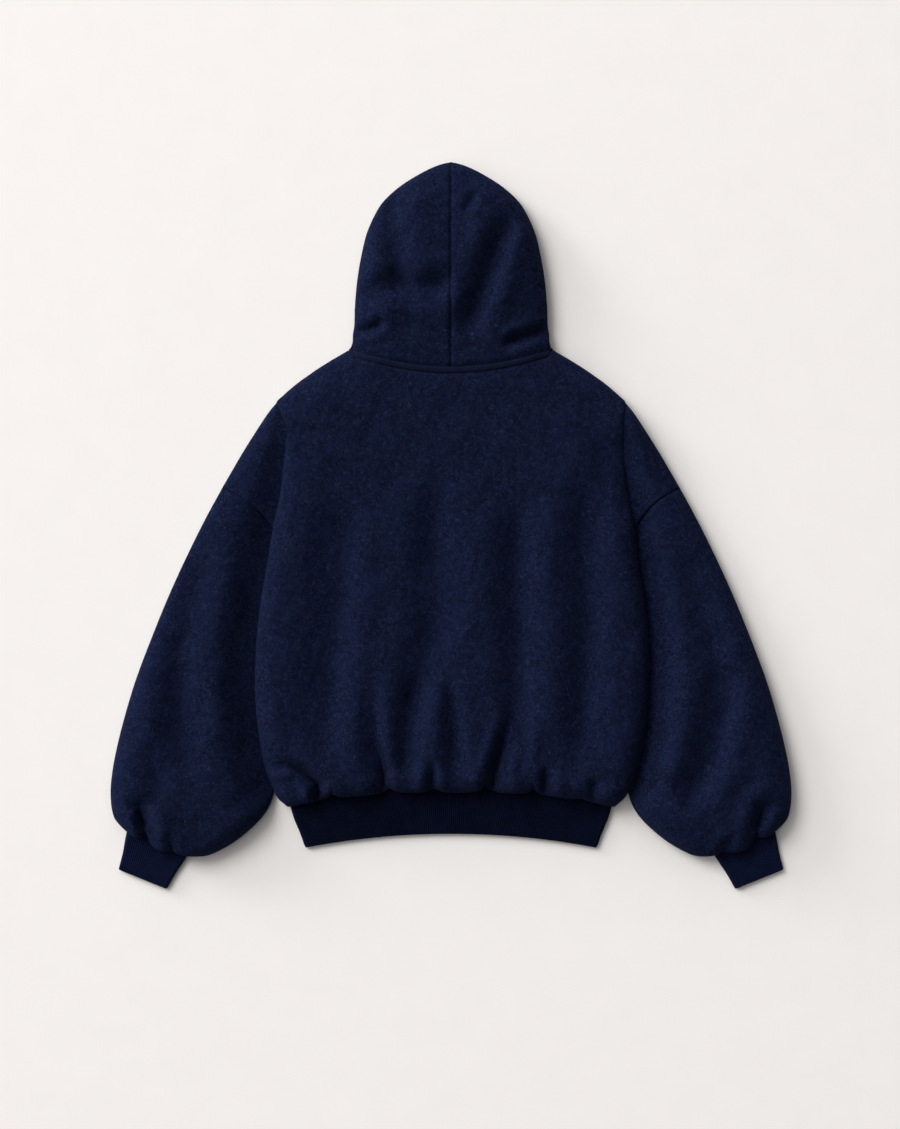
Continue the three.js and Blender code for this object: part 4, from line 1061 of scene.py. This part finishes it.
class Nodes:
    """A short way to build a material's node tree."""

    def __init__(self, name):
        self.material = bpy.data.materials.new(name)
        self.material.use_nodes = True
        self.tree = self.material.node_tree
        self.shader = self.tree.nodes["Principled BSDF"]
        self.place = self.tree.nodes.new("ShaderNodeTexCoord").outputs["Object"]

    def add(self, kind, inputs=(), **settings):
        node = self.tree.nodes.new("ShaderNode" + kind)
        for key, value in settings.items():
            setattr(node, key, value)
        for key, value in dict(inputs).items():
            if isinstance(value, bpy.types.NodeSocket):
                self.tree.links.new(value, node.inputs[key])
            else:
                node.inputs[key].default_value = value
        return node

    def noise(self, size_mm, detail=2.0, roughness=0.5, distortion=0.0, place=None):
        """Noise with features about this many millimetres across."""
        inputs = {
            "Vector": place or self.place,
            "Scale": 1 / (size_mm * METRES),
            "Detail": detail,
            "Roughness": roughness,
            "Distortion": distortion,
        }
        return self.add("TexNoise", inputs).outputs["Fac"]

    def strokes(self, size_mm, thickness, seed):
        """Thin curly strokes: the level lines of a twisted noise, broken up by a second one."""
        shift = {0: self.place, 1: (seed, seed, seed)}
        moved = self.add("VectorMath", shift, operation="ADD").outputs["Vector"]
        level = self.math("SUBTRACT", self.noise(size_mm, 1, 0.5, 1.1, place=moved), 0.5)
        line = self.spread(self.math("ABSOLUTE", level, 0.0), 0, thickness, 1, 0)
        broken = self.spread(self.noise(1.4 * size_mm, 0, 0.5, 0.5, place=moved), 0.42, 0.56)
        return self.math("MULTIPLY", line, broken)

    def spread(self, value, low, high, to_low=0.0, to_high=1.0):
        """A value stretched from one range to another, and held inside it."""
        inputs = {"Value": value, "From Min": low, "From Max": high}
        inputs |= {"To Min": to_low, "To Max": to_high}
        return self.add("MapRange", inputs).outputs["Result"]

    def math(self, operation, a, b):
        return self.add("Math", {0: a, 1: b}, operation=operation).outputs["Value"]

    def blend(self, share, a, b):
        node = self.add("Mix", {"Factor": share}, data_type="RGBA")
        for key, value in ((6, a), (7, b)):
            if isinstance(value, bpy.types.NodeSocket):
                self.tree.links.new(value, node.inputs[key])
            else:
                node.inputs[key].default_value = (*value, 1)
        return node.outputs[2]

    def bump(self, height, distance_mm, strength, normal=None):
        inputs = {"Height": height, "Distance": distance_mm * METRES, "Strength": strength}
        if normal is not None:
            inputs["Normal"] = normal
        return self.add("Bump", inputs).outputs["Normal"]

    def finish(self, colour, normal, **values):
        self.tree.links.new(colour, self.shader.inputs["Base Color"])
        self.tree.links.new(normal, self.shader.inputs["Normal"])
        for name, value in values.items():
            self.shader.inputs[name.replace("_", " ")].default_value = value
        return self.material


def fleece_material():
    """Brushed fleece: short curly fibres, soft clumps and slightly uneven dye."""
    n = Nodes("fleece")
    long_curls = n.math("MAXIMUM", n.strokes(6.5, 0.03, 0), n.strokes(5, 0.034, 1.7))
    curls = n.math("MAXIMUM", long_curls, n.strokes(3.6, 0.045, 4.1))
    fibres = n.noise(1.4, 3, 0.7, 0.8)
    clumps = n.noise(5.5, 3, 0.6)
    patches = n.math("ADD", n.noise(36, 3, 0.6), n.noise(13, 3, 0.6))
    dye = n.spread(patches, 0.76, 1.24)
    base = n.blend(dye, FLEECE_DARK, FLEECE_PALE)
    nap = n.math("ADD", n.spread(clumps, 0.3, 0.7, 0, 0.16), n.spread(fibres, 0.3, 0.7, 0, 0.24))
    tone = n.math("ADD", n.math("MULTIPLY", curls, 1.45), nap)
    colour = n.blend(tone, base, FLEECE_TIPS)
    low = n.bump(clumps, 1.2, 0.5)
    middle = n.bump(curls, 0.9, 0.8, low)
    fine = n.bump(fibres, 0.35, 0.5, middle)
    return n.finish(
        colour,
        fine,
        Roughness=0.95,
        Specular_IOR_Level=0.02,
        Sheen_Weight=0.05,
        Sheen_Roughness=0.5,
        Sheen_Tint=(0.27, 0.38, 1, 1),
    )


def rib_material(name, light):
    """Smooth ribbed knit, with tiny stitches along each rib. All its colours are scaled by one factor:
    below 1 it is painted shade, above 1 painted light.
    """
    n = Nodes(name)
    stitches = n.noise(0.9, 2, 0.6, 0.4)
    uneven = n.noise(16, 3, 0.6)
    colours = (RIB_DARK, RIB_PALE, RIB_YARN)
    # Scaling every colour by this factor paints shade where it is below 1 and light where it is above 1.
    dark, pale, yarn = (tuple(light * c for c in colour) for colour in colours)
    base = n.blend(n.spread(uneven, 0.35, 0.65), dark, pale)
    colour = n.blend(n.spread(stitches, 0.35, 0.75, 0, 0.6), base, yarn)
    normal = n.bump(stitches, 0.3, 0.5)
    return n.finish(
        colour,
        normal,
        Roughness=0.9,
        Specular_IOR_Level=0.03,
        Sheen_Weight=0.02,
        Sheen_Roughness=0.4,
        Sheen_Tint=(0.4, 0.55, 1, 1),
    )


def tape_material():
    """Self-fabric tape, its nap pressed flat."""
    n = Nodes("neck tape")
    nap = n.noise(1.6, 3, 0.65, 0.6)
    uneven = n.noise(12, 3, 0.6)
    base = n.blend(n.spread(uneven, 0.35, 0.65), TAPE_DARK, TAPE_PALE)
    colour = n.blend(n.spread(nap, 0.35, 0.75, 0, 0.5), base, TAPE_NAP)
    normal = n.bump(nap, 0.35, 0.4)
    return n.finish(colour, normal, Roughness=0.95, Specular_IOR_Level=0.02, Sheen_Weight=0.03)


def thread_material():
    """Twisted sewing thread."""
    n = Nodes("thread")
    twist = n.noise(0.5, 2, 0.5)
    colour = n.blend(twist, THREAD_DARK, THREAD_PALE)
    return n.finish(colour, n.bump(twist, 0.1, 0.4), Roughness=0.7, Specular_IOR_Level=0.1)


def floor_material():
    """Warm white plaster with the faintest mottling."""
    n = Nodes("backdrop")
    cloudy = n.noise(60, 4, 0.6)
    grain = n.noise(4, 3, 0.6)
    colour = n.blend(n.spread(cloudy, 0.3, 0.7), FLOOR_DARK, FLOOR_PALE)
    return n.finish(colour, n.bump(grain, 0.2, 0.1), Roughness=0.95, Specular_IOR_Level=0.1)


def make_floor():
    bpy.ops.mesh.primitive_plane_add(size=FLOOR_SIZE, location=(0, 0, FLOOR_Z))
    floor = bpy.context.object
    floor.name = "backdrop"
    floor.data.materials.append(floor_material())


def make_camera():
    """Straight down, taking in the photograph's frame at the garment's middle height."""
    data = bpy.data.cameras.new("camera")
    data.sensor_fit = "AUTO"
    data.sensor_width = SENSOR
    data.lens = SENSOR * CAMERA_HEIGHT / (PHOTO_SIZE[1] * MM_PER_PIXEL)
    data.clip_end = 50
    camera = bpy.data.objects.new("camera", data)
    x = (PHOTO_SIZE[0] / 2 - ORIGIN_PIXEL[0]) * MM_PER_PIXEL
    y = (ORIGIN_PIXEL[1] - PHOTO_SIZE[1] / 2) * MM_PER_PIXEL
    camera.location = Vector((x, y, CAMERA_HEIGHT + CAMERA_LEVEL)) * METRES
    bpy.context.scene.collection.objects.link(camera)
    bpy.context.scene.camera = camera


def make_area_light(name, place, size, power):
    """A round light that shines on the garment's middle."""
    data = bpy.data.lights.new(name, "AREA")
    data.shape = "DISK"
    data.size = size
    data.energy = power
    data.color = LIGHT_COLOUR
    light = bpy.data.objects.new(name, data)
    light.location = place
    light.rotation_euler = (-Vector(place)).to_track_quat("-Z", "Y").to_euler()
    bpy.context.scene.collection.objects.link(light)


def make_lights():
    """Two soft lights from the upper left, one high and one low, in a pale surround."""
    for light in LIGHTS:
        make_area_light(*light)
    world = bpy.data.worlds.new("surround")
    world.use_nodes = True
    tree = world.node_tree
    background = tree.nodes["Background"]
    background.inputs["Color"].default_value = SURROUND_COLOUR
    direction = tree.nodes.new("ShaderNodeTexCoord").outputs["Generated"]
    toward = tree.nodes.new("ShaderNodeVectorMath")
    toward.operation = "DOT_PRODUCT"
    toward.inputs[1].default_value = Vector(SURROUND_SIDE).normalized()
    tree.links.new(direction, toward.inputs[0])
    brightness = tree.nodes.new("ShaderNodeMapRange")
    brightness.inputs["From Min"].default_value = SURROUND_FROM
    brightness.inputs["To Max"].default_value = SURROUND_LIGHT
    tree.links.new(toward.outputs["Value"], brightness.inputs["Value"])
    tree.links.new(brightness.outputs["Result"], background.inputs["Strength"])
    bpy.context.scene.world = world


def main():
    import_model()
    view = bpy.context.scene.view_settings
    view.view_transform = "Standard"
    view.look = "None"
    fleece, tape = fleece_material(), tape_material()
    # The same rib knit twice: painted shade on the hem band, painted light on the cuffs.
    band_rib = rib_material("rib knit", BAND_PAINTED_SHADE)
    cuff_rib = rib_material("cuff rib knit", CUFF_PAINTED_LIGHT)
    back_rows = make_back(fleece)
    make_front(fleece)
    make_sleeve("sleeve_left", LEFT_SLEEVE_FOLDS, -1, fleece)
    make_sleeve("sleeve_right", RIGHT_SLEEVE_FOLDS, 1, fleece)
    make_cuff("cuff_left", -1, cuff_rib)
    make_cuff("cuff_right", 1, cuff_rib)
    make_band(band_rib)
    make_hood_panel("hood_left", -1, fleece)
    make_hood_panel("hood_right", 1, fleece)
    make_tape(back_rows, tape)
    make_stitches(back_rows, thread_material())
    make_floor()
    make_camera()
    make_lights()
    bpy.context.view_layer.update()


main()
